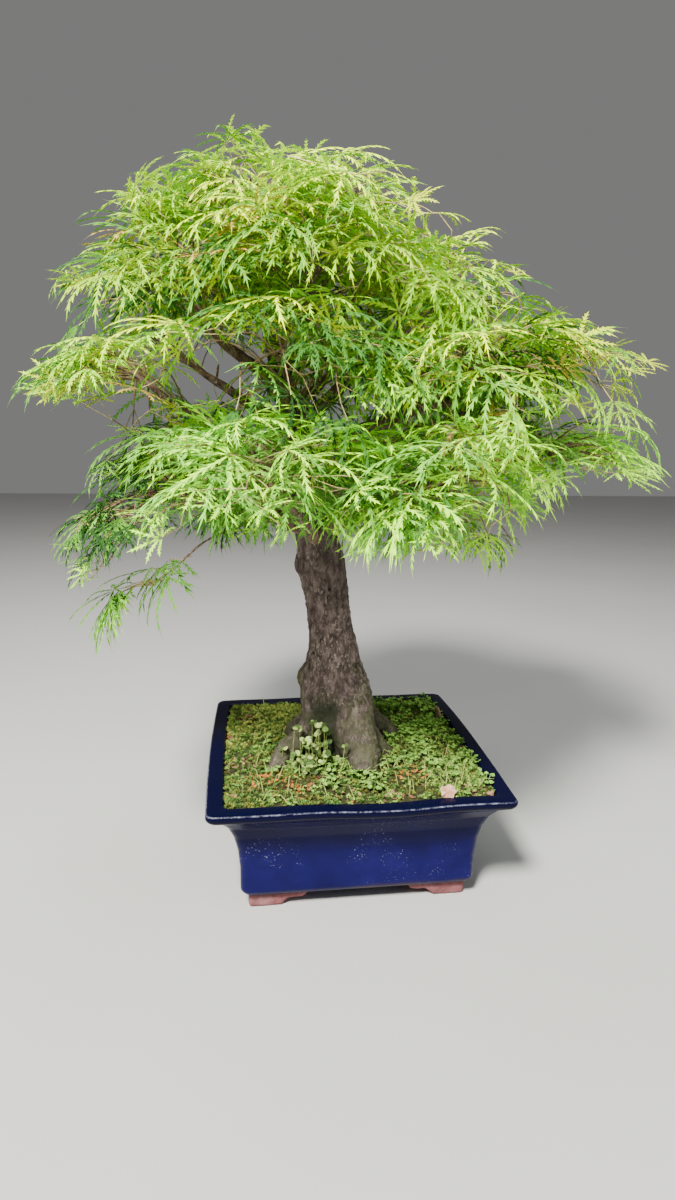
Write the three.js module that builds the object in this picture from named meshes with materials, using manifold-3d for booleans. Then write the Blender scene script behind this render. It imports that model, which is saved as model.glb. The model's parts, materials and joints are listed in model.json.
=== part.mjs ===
// Japanese maple bonsai: a weeping, cut-leaved tree in a square glazed pot on four clay feet.
// Millimetres, +Z up. While the pieces are made, x = 0 and y = 0 run through the middle of the pot and
// z = 0 is the surface that its feet stand on. The last step moves the origin to the middle of the outline.

import * as THREE from "three";
import { mergeVertices } from "three/addons/utils/BufferGeometryUtils.js";
import Module from "manifold-3d";

const wasm = await Module();
wasm.setup();

// Driving dimensions of the pot
const rimWidth = 320;
const potHeight = 132;
const footHeight = 16;
const bodyWidth = 254;
const lipHeight = 9.5;
const rimLand = 16;
const wallThickness = 13.5;
const floorThickness = 15;
const sideBow = 3;
const potCorner = 9;

// Driving dimensions of one foot, an angle of clay with a low step at the end of each arm
const footInset = 41;
const footDepth = 24;
const footFullLength = 35;
const footChamfer = 8;
const footLength = 64;
const footStepHeight = 8;
const footEndRound = 4;

// Driving dimensions of the planting
const mossCrown = 138;
const mossEdge = 125;
const plateauWidth = 188;
const gap = 0.3;

// Trunk: height above the moss, lean to the right, lean to the back, radius
const trunkStations = [
  [-6, -8, -18, 41],
  [12, -10, -18, 41.5],
  [37, -12.5, -17, 42],
  [63, -15, -15, 41.5],
  [86, -17.5, -13, 37],
  [105, -18.5, -11, 31.5],
  [122, -18.5, -10, 27.5],
  [144, -21, -8, 25.5],
  [170, -24, -7, 25],
  [195, -27, -6, 26],
  [214, -30, -6, 27],
  [240, -35, -5, 24],
  [287, -43, -3, 20.5],
  [341, -56, -1, 17],
  [404, -72, 2, 13],
  [470, -88, 4, 10],
  [545, -104, 5, 6.5],
];
const trunkSides = 11;
const trunkRings = 15;

// Roots: compass angle from +X in degrees, reach from the trunk's axis, thickness at the trunk
const roots = [
  [215, 98, 19],
  [281, 73, 34],
  [334, 60, 19],
  [17, 76, 20],
  [84, 66, 20],
  [142, 74, 19],
];
const rootRise = 62;

// Burls: height above the moss, compass angle, radius
const burls = [
  [84, 176, 12],
  [216, 192, 13],
];

// Masses of foliage: middle x, y, z, then half width, half depth, half height, then the bough that carries
// it: where it leaves its parent (a height for the trunk, a share of the length for another bough), its
// thickness there, and its parent
const masses = {
  front_low_left: [-92, -160, 446, 128, 104, 80, 236, 10.5, "trunk"],
  low_left: [-198, -50, 426, 116, 116, 80, 252, 12.5, "trunk"],
  weeping_left: [-236, -80, 330, 64, 62, 62, 0.72, 5, "low_left"],
  mid_left: [-226, -44, 542, 116, 114, 72, 300, 11.5, "trunk"],
  upper_left: [-190, -10, 640, 112, 114, 80, 388, 9.5, "trunk"],
  apex_left: [-104, 0, 718, 102, 110, 68, 0, 6, "tip"],
  apex_right: [4, 0, 712, 102, 110, 70, 420, 9, "trunk"],
  right_shoulder: [108, -26, 636, 108, 110, 80, 362, 10, "trunk"],
  right_mid: [226, -36, 560, 106, 112, 72, 328, 11, "trunk"],
  low_right: [216, -54, 468, 118, 116, 78, 264, 12, "trunk"],
  front_low_right: [80, -156, 442, 118, 106, 82, 248, 10.5, "trunk"],
  middle_right: [96, -128, 548, 118, 96, 76, 0.5, 7, "right_mid"],
  middle_left: [-82, -134, 552, 118, 96, 78, 318, 9, "trunk"],
  upper_front: [-46, -102, 648, 120, 94, 78, 402, 8, "trunk"],
  back_low_left: [-146, 140, 448, 126, 112, 82, 268, 10.5, "trunk"],
  back_low_right: [66, 164, 446, 128, 108, 82, 280, 10.5, "trunk"],
  back_right: [200, 84, 536, 112, 104, 82, 300, 10, "trunk"],
  back_left: [-206, 96, 586, 108, 104, 76, 352, 9, "trunk"],
  back_middle: [2, 150, 576, 118, 102, 80, 372, 9.5, "trunk"],
  back_top: [-34, 106, 668, 128, 98, 76, 446, 8, "trunk"],
};

// Boughs
const boughSides = 5;
const boughRings = 4;
const boughTipShare = 0.42;
const boughLift = 0.16;
const boughKnee = 0.45;
const boughAim = -0.2;
const boughOverrun = 0.06;
const earliestEnd = 0.5;
const latestEnd = 0.86;

// Twigs and leaves
const spaceMargin = 0.05;
const spaceEdge = 1.08;
const stemSides = 4;
const stemRings = 3;
const stemTipRadius = 3.2;
const stemCrest = 0.2;
const stemBendShare = 0.4;
const twigRings = 2;
const twigsTried = 120;
const leavesWanted = 11;
const twigReach = 0.74;
const twigReachSpread = 0.14;
const twigBaseRadius = 1.7;
const twigTipRadius = 1.1;
const twigBend = 0.45;
const firstTwigShare = 0.3;
const lastTwigShare = 0.97;
const lowestPolar = -0.55;
const highestPolar = 0.96;
const polarStep = 0.7548777;
const turnStep = 0.5698403;
const leafLength = 120;
const leafThickness = 2.8;
const leafShares = [1, 0.88, 0.77, 0.67, 0.58, 0.5, 0.42, 0.34];
const leafLobes = [
  [-88, 0.62],
  [-44, 0.86],
  [0, 1],
  [44, 0.86],
  [88, 0.62],
];
const leafNotch = 0.46;
const leafStalk = 0.12;
const leafHeel = [132, 0.16];
const leafDroop = 0.12;
const leafLift = 0.35;
const leafLiftSpread = 0.4;
const limbClearance = 3;
const leafClearance = 7;

// Finishes
const finishes = {
  glaze: { color: 0x141b4e, roughness: 0.22, metalness: 0 },
  clay: { color: 0xb98370, roughness: 0.85, metalness: 0 },
  moss: { color: 0x6d8a35, roughness: 0.95, metalness: 0 },
  bark: { color: 0x6a5a4a, roughness: 0.9, metalness: 0 },
  leaf: { color: 0x9fbf5a, roughness: 0.6, metalness: 0 },
};

const up = new THREE.Vector3(0, 0, 1);
const point = (x, y, z) => new THREE.Vector3(x, y, z);
const radians = THREE.MathUtils.degToRad;
const bonsai = new THREE.Group();

// Repeatable random numbers from a whole-number seed
function seeded(seed) {
  let state = seed >>> 0;
  return () => {
    state = (state + 0x6d2b79f5) >>> 0;
    let mixed = Math.imul(state ^ (state >>> 15), 1 | state);
    mixed = (mixed + Math.imul(mixed ^ (mixed >>> 7), 61 | mixed)) ^ mixed;
    return ((mixed ^ (mixed >>> 14)) >>> 0) / 4294967296;
  };
}

// Solids and meshes
function solidOf(geometry) {
  const bare = geometry.clone();
  bare.deleteAttribute("normal");
  bare.deleteAttribute("uv");
  const merged = mergeVertices(bare, 1e-3);
  return new wasm.Manifold(
    new wasm.Mesh({
      numProp: 3,
      vertProperties: new Float32Array(merged.attributes.position.array),
      triVerts: new Uint32Array(merged.index.array),
    }),
  );
}

function geometryOf(solid) {
  const mesh = solid.getMesh();
  const geometry = new THREE.BufferGeometry();
  geometry.setAttribute("position", new THREE.BufferAttribute(new Float32Array(mesh.vertProperties), 3));
  geometry.setIndex(new THREE.BufferAttribute(new Uint32Array(mesh.triVerts), 1));
  return mergeVertices(geometry, 1e-3);
}

// The one largest body: a loose scrap is dropped and a sealed hollow is filled
function mainBody(solid) {
  const bodies = solid.simplify(0.02).decompose();
  return bodies.reduce((largest, body) => (body.volume() > largest.volume() ? body : largest));
}

function addMesh(name, geometry, finish, group = bonsai) {
  const shown = geometry.index ? geometry.toNonIndexed() : geometry;
  shown.computeVertexNormals();
  const mesh = new THREE.Mesh(shown, new THREE.MeshStandardMaterial({ ...finishes[finish], flatShading: true }));
  mesh.name = name;
  group.add(mesh);
  return mesh;
}

// A closed skin over rings of equal count, each counter-clockwise seen from the end of the row, or from its
// start where the row is turned
function loft(rings, turned = false) {
  const count = rings[0].length;
  const positions = rings.flat().flatMap((p) => [p.x, p.y, p.z]);
  const index = [];
  for (let k = 0; k < rings.length - 1; k++) {
    for (let i = 0; i < count; i++) {
      const a = k * count + i;
      const b = k * count + ((i + 1) % count);
      index.push(a, b, b + count, a, b + count, a + count);
    }
  }
  const last = (rings.length - 1) * count;
  for (let i = 1; i < count - 1; i++) {
    index.push(0, i + 1, i);
    index.push(last, last + i, last + i + 1);
  }
  if (turned) index.reverse();
  const geometry = new THREE.BufferGeometry();
  geometry.setAttribute("position", new THREE.Float32BufferAttribute(positions, 3));
  geometry.setIndex(index);
  return geometry;
}

// One tapering limb along a curve; radiusAt gives its radius at a share of the length and an angle
function limbGeometry(curve, radiusAt, sides, rings) {
  const frames = curve.computeFrenetFrames(rings, false);
  const loops = [];
  for (let k = 0; k <= rings; k++) {
    const share = k / rings;
    const middle = curve.getPointAt(share);
    const loop = [];
    for (let i = 0; i < sides; i++) {
      const angle = (2 * Math.PI * i) / sides;
      const radius = radiusAt(share, angle);
      loop.push(
        middle
          .clone()
          .addScaledVector(frames.normals[k], radius * Math.cos(angle))
          .addScaledVector(frames.binormals[k], radius * Math.sin(angle)),
      );
    }
    loops.push(loop);
  }
  return loft(loops);
}

const taper = (start, end) => (share) => THREE.MathUtils.lerp(start, end, share);

// Pot: rings of a square with round corners and slightly bowed sides
function squareRing(half, corner, bow, z) {
  const sideSteps = 3;
  const cornerSteps = 2;
  const ring = [];
  for (let side = 0; side < 4; side++) {
    const turn = (side * Math.PI) / 2;
    const place = (x, y) => ring.push(point(x, y, z).applyAxisAngle(up, turn));
    for (let k = 0; k <= cornerSteps; k++) {
      const angle = (k / cornerSteps - 1) * (Math.PI / 2);
      place(half - corner + corner * Math.cos(angle), -(half - corner) + corner * Math.sin(angle));
    }
    for (let k = 1; k < sideSteps; k++) {
      const along = (2 * k) / sideSteps - 1;
      place(half + bow * (1 - along * along), along * (half - corner));
    }
  }
  return ring;
}

const rimHalf = rimWidth / 2;
const bodyHalf = bodyWidth / 2;
const lipUnder = potHeight - lipHeight;
const floorLevel = footHeight + floorThickness;

// The wall's outline as half width and height, from the underside up the outside to the rim
const outerWall = [
  [bodyHalf - 9, footHeight],
  [bodyHalf - 3, footHeight + 2.5],
  [bodyHalf, footHeight + 8],
  [bodyHalf, footHeight + 34],
  [bodyHalf + 2, footHeight + 56],
  [bodyHalf + 6, footHeight + 74],
  [bodyHalf + 12, footHeight + 89],
  [bodyHalf + 20, lipUnder - 7],
  [bodyHalf + 27, lipUnder - 2],
  [rimHalf - 2, lipUnder],
  [rimHalf, lipUnder + 3.5],
  [rimHalf, potHeight - 2.5],
  [rimHalf - 2, potHeight],
];

// The hollow's outline, from the rim down the inside to the floor
const innerWall = [
  [rimHalf - rimLand, potHeight],
  [rimHalf - rimLand - 2, potHeight - 2.5],
  [rimHalf - rimLand - 4, lipUnder],
  [bodyHalf + 12 - wallThickness + 5, footHeight + 89],
  [bodyHalf + 6 - wallThickness, footHeight + 72],
  [bodyHalf - wallThickness, footHeight + 40],
  [bodyHalf - wallThickness - 1, floorLevel + 5],
  [bodyHalf - wallThickness - 5, floorLevel],
];

function bowAt(z) {
  return sideBow * THREE.MathUtils.smoothstep(z, footHeight + 56, lipUnder);
}

function makePot() {
  const outline = [...outerWall, ...innerWall];
  return loft(outline.map(([half, z]) => squareRing(half, potCorner, bowAt(z), z)));
}

// One foot in the corner where x and y are least; the other three are turned about the pot's middle
function makeFoot() {
  const profile = new THREE.Shape();
  profile.moveTo(0, 0);
  profile.lineTo(footFullLength, 0);
  profile.lineTo(footFullLength + footChamfer, footHeight - footStepHeight);
  profile.lineTo(footLength - footEndRound, footHeight - footStepHeight);
  profile.quadraticCurveTo(
    footLength,
    footHeight - footStepHeight,
    footLength,
    footHeight - footStepHeight + footEndRound,
  );
  profile.lineTo(footLength, footHeight);
  profile.lineTo(0, footHeight);
  const settings = { depth: footDepth, bevelEnabled: false, curveSegments: 3 };
  const alongX = new THREE.ExtrudeGeometry(profile, settings);
  alongX.rotateX(Math.PI / 2);
  alongX.translate(0, footDepth, 0);
  const alongY = new THREE.ExtrudeGeometry(profile, settings);
  alongY.rotateX(Math.PI / 2);
  alongY.rotateZ(Math.PI / 2);
  const foot = solidOf(alongX).add(solidOf(alongY));
  const geometry = geometryOf(mainBody(foot));
  const corner = -(rimHalf - footInset);
  geometry.translate(corner, corner, 0);
  return geometry;
}

// Soil and moss: fills the hollow, with a level top round the trunk that falls away to the rim
function makeMossBed() {
  const inside = innerWall
    .filter(([, z]) => z < mossEdge)
    .map(([half, z]) => squareRing(half - gap, potCorner - gap, bowAt(z), z));
  const edgeHalf = rimHalf - rimLand - 4 - 1;
  const plateau = plateauWidth / 2;
  const top = [
    squareRing(plateau, 50, 0, mossCrown),
    squareRing((edgeHalf + plateau) / 2, 34, sideBow, THREE.MathUtils.lerp(mossEdge, mossCrown, 0.75)),
    squareRing(edgeHalf - 8, 16, sideBow, THREE.MathUtils.lerp(mossEdge, mossCrown, 0.35)),
    squareRing(edgeHalf, potCorner, sideBow, mossEdge),
  ];
  return loft([...top, ...inside], true);
}

// Trunk
const trunkCurve = new THREE.CatmullRomCurve3(
  trunkStations.map(([height, x, y]) => point(x, y, mossCrown + height)),
  false,
  "centripetal",
);

// The share of the curve's length at each height is found by halving
function trunkShareAt(z) {
  let low = 0;
  let high = 1;
  for (let k = 0; k < 30; k++) {
    const middle = (low + high) / 2;
    if (trunkCurve.getPointAt(middle).z < z) low = middle;
    else high = middle;
  }
  return low;
}

function trunkRadiusAtHeight(z) {
  const height = z - mossCrown;
  const above = trunkStations.findIndex((station) => station[0] > height);
  if (above < 1) return above === 0 ? trunkStations[0][3] : trunkStations.at(-1)[3];
  const [lowHeight, , , lowRadius] = trunkStations[above - 1];
  const [highHeight, , , highRadius] = trunkStations[above];
  return THREE.MathUtils.mapLinear(height, lowHeight, highHeight, lowRadius, highRadius);
}

// The trunk's surface has shallow flutes that turn a little as they climb
function trunkSkin(share, angle) {
  const z = trunkCurve.getPointAt(share).z;
  const flute = 1 + 0.045 * Math.cos(3 * angle + z / 60) + 0.025 * Math.cos(5 * angle - z / 35);
  return trunkRadiusAtHeight(z) * flute;
}

function makeTrunk(extra) {
  const shaft = limbGeometry(trunkCurve, (share, angle) => trunkSkin(share, angle) + extra, trunkSides, trunkRings);
  let trunk = solidOf(shaft);
  const [, baseX, baseY] = trunkStations[0];
  for (const [angle, reach, thickness] of roots) {
    const direction = point(Math.cos(radians(angle)), Math.sin(radians(angle)), 0);
    const at = (share, rise) => point(baseX, baseY, mossCrown + rise).addScaledVector(direction, reach * share);
    const curve = new THREE.CatmullRomCurve3([at(0.2, rootRise), at(0.52, rootRise * 0.42), at(0.8, 9), at(1, -8)]);
    const root = limbGeometry(curve, (share) => thickness * (1 - 0.5 * share) + extra, 6, 4);
    trunk = trunk.add(solidOf(root));
  }
  for (const [height, angle, radius] of burls) {
    const z = mossCrown + height;
    const middle = trunkCurve.getPointAt(trunkShareAt(z));
    const direction = point(Math.cos(radians(angle)), Math.sin(radians(angle)), 0);
    middle.addScaledVector(direction, trunkRadiusAtHeight(z) - radius * 0.45);
    const burl = new THREE.IcosahedronGeometry(radius + extra, 1);
    burl.scale(1, 1, 1.25);
    burl.translate(middle.x, middle.y, middle.z);
    trunk = trunk.add(solidOf(burl));
  }
  // The flat cut at the level of the moss
  return mainBody(trunk.trimByPlane([0, 0, 1], mossCrown));
}

// Spaces: a mass holds the points that are nearer to its own middle, by its own measure, than to any other's
const spaces = Object.entries(masses).map(([name, row]) => ({
  name,
  middle: point(row[0], row[1], row[2]),
  half: point(row[3], row[4], row[5]),
}));
const spaceOf = Object.fromEntries(spaces.map((space) => [space.name, space]));

function depthIn(space, p) {
  const away = p.clone().sub(space.middle).divide(space.half);
  return away.length();
}

function ownsPoint(space, p) {
  const own = depthIn(space, p);
  return own <= spaceEdge && spaces.every((other) => other === space || depthIn(other, p) >= own + spaceMargin);
}

// Limbs already made, each as points along its middle with radii, so that leaves can keep off them
const limbPoints = [];
function noteLimb(name, curve, radiusAt) {
  const steps = Math.ceil(curve.getLength() / 5);
  for (let k = 0; k <= steps; k++) {
    limbPoints.push({ name, middle: curve.getPointAt(k / steps), radius: radiusAt(k / steps) });
  }
}

function clearOfLimbs(p, clearance) {
  return limbPoints.every((limb) => limb.middle.distanceTo(p) > limb.radius + clearance);
}

// Boughs: each leaves its parent, rises, and bends out to its mass, where it ends
const boughs = {};
function layBough(name, row) {
  const [, , , , , , start, thickness, parent] = row;
  const space = spaceOf[name];
  if (parent === "tip") {
    const end = trunkCurve.getPointAt(1);
    boughs[name] = { end, direction: trunkCurve.getTangentAt(1), tipRadius: trunkStations.at(-1)[3] };
    return;
  }
  const from =
    parent === "trunk" ? trunkCurve.getPointAt(trunkShareAt(mossCrown + start)) : boughs[parent].curve.getPointAt(start);
  const target = space.middle.clone().addScaledVector(up, boughAim * space.half.z);
  const across = target.clone().sub(from);
  const run = Math.hypot(across.x, across.y);
  const knee = from.clone().addScaledVector(across, boughKnee).addScaledVector(up, boughLift * run);
  const whole = new THREE.QuadraticBezierCurve3(from, knee, target);
  let entry = 1;
  while (entry > 0 && ownsPoint(space, whole.getPointAt(entry))) entry -= 0.02;
  const endShare = THREE.MathUtils.clamp(entry + boughOverrun, earliestEnd, latestEnd);
  const points = [0, 0.25, 0.5, 0.75, 1].map((share) => whole.getPointAt(share * endShare));
  const curve = new THREE.CatmullRomCurve3(points);
  const tipRadius = thickness * boughTipShare;
  boughs[name] = {
    curve,
    parent,
    thickness,
    tipRadius,
    end: curve.getPointAt(1),
    direction: curve.getTangentAt(1),
  };
  noteLimb(name, curve, taper(thickness, tipRadius));
}

function makeBough(name, extra) {
  const { curve, thickness, tipRadius } = boughs[name];
  return solidOf(limbGeometry(curve, taper(thickness + extra, tipRadius + extra), boughSides, boughRings));
}

// Leaf: five pointed lobes round a middle that is thickest, drooping towards their tips. Its outline runs
// from the right of the stalk round the tips to the left of it, and it looks along ahead with top upwards.
function makeLeaf(seat, ahead, side, length) {
  const top = new THREE.Vector3().crossVectors(ahead, side);
  const middle = seat.clone().addScaledVector(ahead, leafStalk * length);
  const at = (degrees, share, drop) =>
    middle
      .clone()
      .addScaledVector(ahead, length * share * Math.cos(radians(degrees)))
      .addScaledVector(side, length * share * Math.sin(radians(degrees)))
      .addScaledVector(top, -length * drop);
  const outline = [at(-leafHeel[0], leafHeel[1], 0)];
  leafLobes.forEach(([degrees, share], k) => {
    outline.push(at(degrees, share, leafDroop * share));
    const next = leafLobes[k + 1];
    if (next) outline.push(at((degrees + next[0]) / 2, leafNotch, 0));
  });
  outline.push(at(leafHeel[0], leafHeel[1], 0));
  const crest = middle.clone().addScaledVector(top, leafThickness / 2);
  const belly = middle.clone().addScaledVector(top, -leafThickness / 2);
  return { middle, outline, crest, belly };
}

// Faces over the top and under the bottom of a leaf, whose first outline point has the given number
function leafFaces(first, count, crest, belly) {
  const faces = [];
  for (let i = 0; i < count - 1; i++) {
    faces.push(crest, first + i, first + i + 1);
    faces.push(belly, first + i + 1, first + i);
  }
  return faces;
}

function facedGeometry(points, faces) {
  const geometry = new THREE.BufferGeometry();
  const positions = points.flatMap((p) => [p.x, p.y, p.z]);
  geometry.setAttribute("position", new THREE.Float32BufferAttribute(positions, 3));
  geometry.setIndex(faces);
  return geometry;
}

// The leaf alone, closed across its heel, to try it against its neighbours
function leafGeometry({ outline, crest, belly }) {
  const count = outline.length;
  const faces = leafFaces(0, count, count, count + 1);
  faces.push(count, count - 1, 0, count + 1, 0, count - 1);
  return facedGeometry([...outline, crest, belly], faces);
}

// A three-sided twig along a curve that lies in one upright plane, grown together with the leaf at its end
function sprayGeometry(curve, side, leaf) {
  const points = [];
  const faces = [0, 1, 2];
  for (let k = 0; k <= twigRings; k++) {
    const share = k / twigRings;
    const middle = curve.getPointAt(share);
    const top = new THREE.Vector3().crossVectors(curve.getTangentAt(share), side);
    const radius = THREE.MathUtils.lerp(twigBaseRadius, twigTipRadius, share);
    for (const degrees of [90, 210, 330]) {
      points.push(
        middle
          .clone()
          .addScaledVector(top, radius * Math.sin(radians(degrees)))
          .addScaledVector(side, -radius * Math.cos(radians(degrees))),
      );
    }
    if (k === 0) continue;
    for (let i = 0; i < 3; i++) {
      const a = 3 * (k - 1) + i;
      const b = 3 * (k - 1) + ((i + 1) % 3);
      faces.push(a, a + 3, b + 3, a, b + 3, b);
    }
  }
  const [top, left, right] = [3 * twigRings, 3 * twigRings + 1, 3 * twigRings + 2];
  const first = points.length;
  const last = first + leaf.outline.length - 1;
  const crest = last + 1;
  const belly = last + 2;
  points.push(...leaf.outline, leaf.crest, leaf.belly);
  faces.push(top, crest, last, top, last, left, top, first, crest, top, right, first);
  faces.push(left, last, belly, left, belly, right, right, belly, first);
  faces.push(...leafFaces(first, leaf.outline.length, crest, belly));
  return facedGeometry(points, faces);
}

function leafFits(space, { middle, outline }) {
  return outline.every((tip) =>
    [0.35, 0.7, 1].every((share) => {
      const p = middle.clone().lerp(tip, share);
      return ownsPoint(space, p) && clearOfLimbs(p, leafClearance);
    }),
  );
}

// Mass: a stem runs from the bough's tip to a little above the middle of the space. Twigs are tried in
// evenly scattered directions. Each arches over and ends in a leaf that hangs outwards, the largest that has
// room. A twig or leaf that would leave the space, touch a limb or cut through another leaf is left out.
function growMass(name, seed) {
  const random = seeded(seed);
  const space = spaceOf[name];
  const { end, direction, tipRadius } = boughs[name];
  const stemFoot = end.clone().addScaledVector(direction, gap);
  const crest = space.middle.clone().addScaledVector(up, stemCrest * space.half.z);
  const stemBend = stemFoot.clone().addScaledVector(direction, stemFoot.distanceTo(crest) * stemBendShare);
  const stemCurve = new THREE.QuadraticBezierCurve3(stemFoot, stemBend, crest);
  const stemRadius = taper(Math.max(tipRadius, stemTipRadius), stemTipRadius);
  const pieces = [solidOf(limbGeometry(stemCurve, stemRadius, stemSides, stemRings))];
  const leaves = [];
  const isFree = (piece, others) => others.every((other) => piece.intersect(other).isEmpty());
  const firstTurn = random() * 2 * Math.PI;
  for (let k = 0; k < twigsTried && leaves.length < leavesWanted; k++) {
    const order = (0.5 + k * polarStep) % 1;
    const polar = THREE.MathUtils.lerp(lowestPolar, highestPolar, order);
    const turn = firstTurn + 2 * Math.PI * k * turnStep;
    const level = Math.sqrt(1 - polar * polar);
    const heading = point(level * Math.cos(turn), level * Math.sin(turn), polar);
    const reach = twigReach * (1 + twigReachSpread * (2 * random() - 1));
    const lift = leafLift * (1 + leafLiftSpread * (2 * random() - 1));
    const tip = space.middle.clone().add(heading.clone().multiply(space.half).multiplyScalar(reach));
    const root = stemCurve.getPointAt(THREE.MathUtils.lerp(firstTwigShare, lastTwigShare, order));
    // The twig ends heading down along the skin of the space, and a little away from it
    const away = tip.clone().sub(root).setZ(0).normalize();
    const ahead = away.clone().multiplyScalar((polar * (space.half.x + space.half.y)) / 2);
    ahead.addScaledVector(up, -level * space.half.z).normalize().addScaledVector(away, lift).normalize();
    const bend = tip.clone().addScaledVector(ahead, -twigBend * root.distanceTo(tip));
    const curve = new THREE.QuadraticBezierCurve3(root, bend, tip);
    const room = [0.3, 0.5, 0.7, 0.85, 1].every((share) => {
      const p = curve.getPointAt(share);
      return ownsPoint(space, p) && clearOfLimbs(p, limbClearance + twigBaseRadius);
    });
    if (!room) continue;
    const side = new THREE.Vector3().crossVectors(up, away);
    for (const share of leafShares) {
      const leaf = makeLeaf(tip, ahead, side, leafLength * share);
      if (!leafFits(space, leaf)) continue;
      const blade = solidOf(leafGeometry(leaf));
      const spray = solidOf(sprayGeometry(curve, side, leaf));
      if (!isFree(blade, pieces) || !isFree(spray, leaves)) continue;
      leaves.push(blade);
      pieces.push(spray);
      break;
    }
  }
  // A join whose shortest edges would not survive rounding is made again with its last leaf left off
  while (pieces.length > 1) {
    const body = mainBody(wasm.Manifold.union(pieces));
    try {
      solidOf(geometryOf(body));
      return geometryOf(body);
    } catch {
      pieces.pop();
    }
  }
  throw new Error(`${name} does not close`);
}

// Assembly
addMesh("pot", makePot(), "glaze");
const footNames = ["foot_front_left", "foot_front_right", "foot_back_right", "foot_back_left"];
footNames.forEach((name, k) => {
  addMesh(name, makeFoot(), "clay").rotation.z = (k * Math.PI) / 2;
});
addMesh("moss_bed", makeMossBed(), "moss");

const trunk = makeTrunk(0);
const trunkGrown = makeTrunk(gap);
addMesh("trunk", geometryOf(trunk), "bark");
noteLimb("trunk", trunkCurve, (share) => trunkRadiusAtHeight(trunkCurve.getPointAt(share).z) * 1.07);

for (const [name, row] of Object.entries(masses)) layBough(name, row);
for (const [name, bough] of Object.entries(boughs)) {
  if (!bough.curve) continue;
  let limb = makeBough(name, 0).subtract(trunkGrown);
  if (bough.parent !== "trunk") limb = limb.subtract(makeBough(bough.parent, gap));
  addMesh(`bough_${name}`, geometryOf(mainBody(limb)), "bark");
}
Object.keys(masses).forEach((name, k) => {
  addMesh(`foliage_${name}`, growMass(name, 101 + 17 * k), "leaf");
});

// The origin goes to the middle of the whole outline, on the surface that the feet stand on
bonsai.updateMatrixWorld(true);
const outlineBox = new THREE.Box3().setFromObject(bonsai);
bonsai.position.set(-(outlineBox.min.x + outlineBox.max.x) / 2, -(outlineBox.min.y + outlineBox.max.y) / 2, 0);

export default bonsai;
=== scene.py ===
import json
import math
import random

import bmesh
import bpy
import numpy as np
from mathutils import Matrix, Vector, kdtree, noise

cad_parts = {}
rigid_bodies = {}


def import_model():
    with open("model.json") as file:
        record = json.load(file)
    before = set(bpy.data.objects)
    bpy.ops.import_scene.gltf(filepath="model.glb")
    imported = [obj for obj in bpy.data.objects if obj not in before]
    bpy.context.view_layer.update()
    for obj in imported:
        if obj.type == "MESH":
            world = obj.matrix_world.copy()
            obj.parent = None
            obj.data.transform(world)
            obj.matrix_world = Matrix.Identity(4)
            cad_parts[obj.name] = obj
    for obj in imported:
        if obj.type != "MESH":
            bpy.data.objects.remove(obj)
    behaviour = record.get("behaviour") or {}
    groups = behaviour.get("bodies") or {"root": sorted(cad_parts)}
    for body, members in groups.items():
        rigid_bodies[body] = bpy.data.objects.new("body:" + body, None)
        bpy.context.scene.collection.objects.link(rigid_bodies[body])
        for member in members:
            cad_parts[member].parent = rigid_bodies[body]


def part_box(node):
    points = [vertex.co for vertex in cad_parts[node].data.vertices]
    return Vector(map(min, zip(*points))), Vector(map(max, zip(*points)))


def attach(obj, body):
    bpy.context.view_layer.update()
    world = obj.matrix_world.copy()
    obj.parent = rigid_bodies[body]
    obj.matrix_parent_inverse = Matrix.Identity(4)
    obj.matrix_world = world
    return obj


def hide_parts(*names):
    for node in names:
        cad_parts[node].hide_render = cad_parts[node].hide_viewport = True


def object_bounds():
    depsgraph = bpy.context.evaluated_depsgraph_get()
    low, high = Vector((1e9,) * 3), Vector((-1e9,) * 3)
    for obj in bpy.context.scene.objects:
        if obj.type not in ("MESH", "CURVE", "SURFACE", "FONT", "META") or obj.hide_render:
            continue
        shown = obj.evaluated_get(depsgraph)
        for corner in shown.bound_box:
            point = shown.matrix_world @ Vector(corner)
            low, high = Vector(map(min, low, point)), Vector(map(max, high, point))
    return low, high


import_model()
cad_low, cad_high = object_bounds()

# A weeping, cut-leaved maple grown as a bonsai, in a square glazed pot on four clay feet.
# Metres, +Z up. All places are measured from the middle of the pot, on the surface that it stands on.
pot_low, pot_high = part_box("pot")
HOME = Vector(((pot_low.x + pot_high.x) / 2, (pot_low.y + pot_high.y) / 2, 0))
UP = Vector((0, 0, 1))

# Pot
SIDE_BOW = 0.003
RIM_HALF = (pot_high.x - pot_low.x) / 2 - SIDE_BOW
POT_HEIGHT = pot_high.z
FOOT_HEIGHT = pot_low.z
BODY_HALF = 0.127
LIP_UNDER = POT_HEIGHT - 0.0095
RIM_LAND = 0.016
WALL = 0.0135
FLOOR_LEVEL = FOOT_HEIGHT + 0.015
POT_CORNER = 0.009
RIM_WAVE = 0.0020
# Band at the lip's outer top edge that is painted pale: partly worn glaze, partly a painted highlight
WEAR_AND_HIGHLIGHT_DROP = 0.0022
WEAR_AND_HIGHLIGHT_INSET = (0.0004, 0.0014)

# One foot
FOOT_INSET = 0.041
FOOT_DEPTH = 0.024
FOOT_FULL = 0.035
FOOT_CHAMFER = 0.008
FOOT_LENGTH = 0.064
FOOT_STEP = 0.008
FOOT_VOXEL = 0.0012
FOOT_SMOOTHING = 44

# Planting
MOSS_CROWN = 0.138
MOSS_EDGE = 0.125
PLATEAU_HALF = 0.094
MOSS_EDGE_HALF = RIM_HALF - RIM_LAND - 0.004
MOSS_MARGIN = POT_HEIGHT - 0.003

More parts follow.
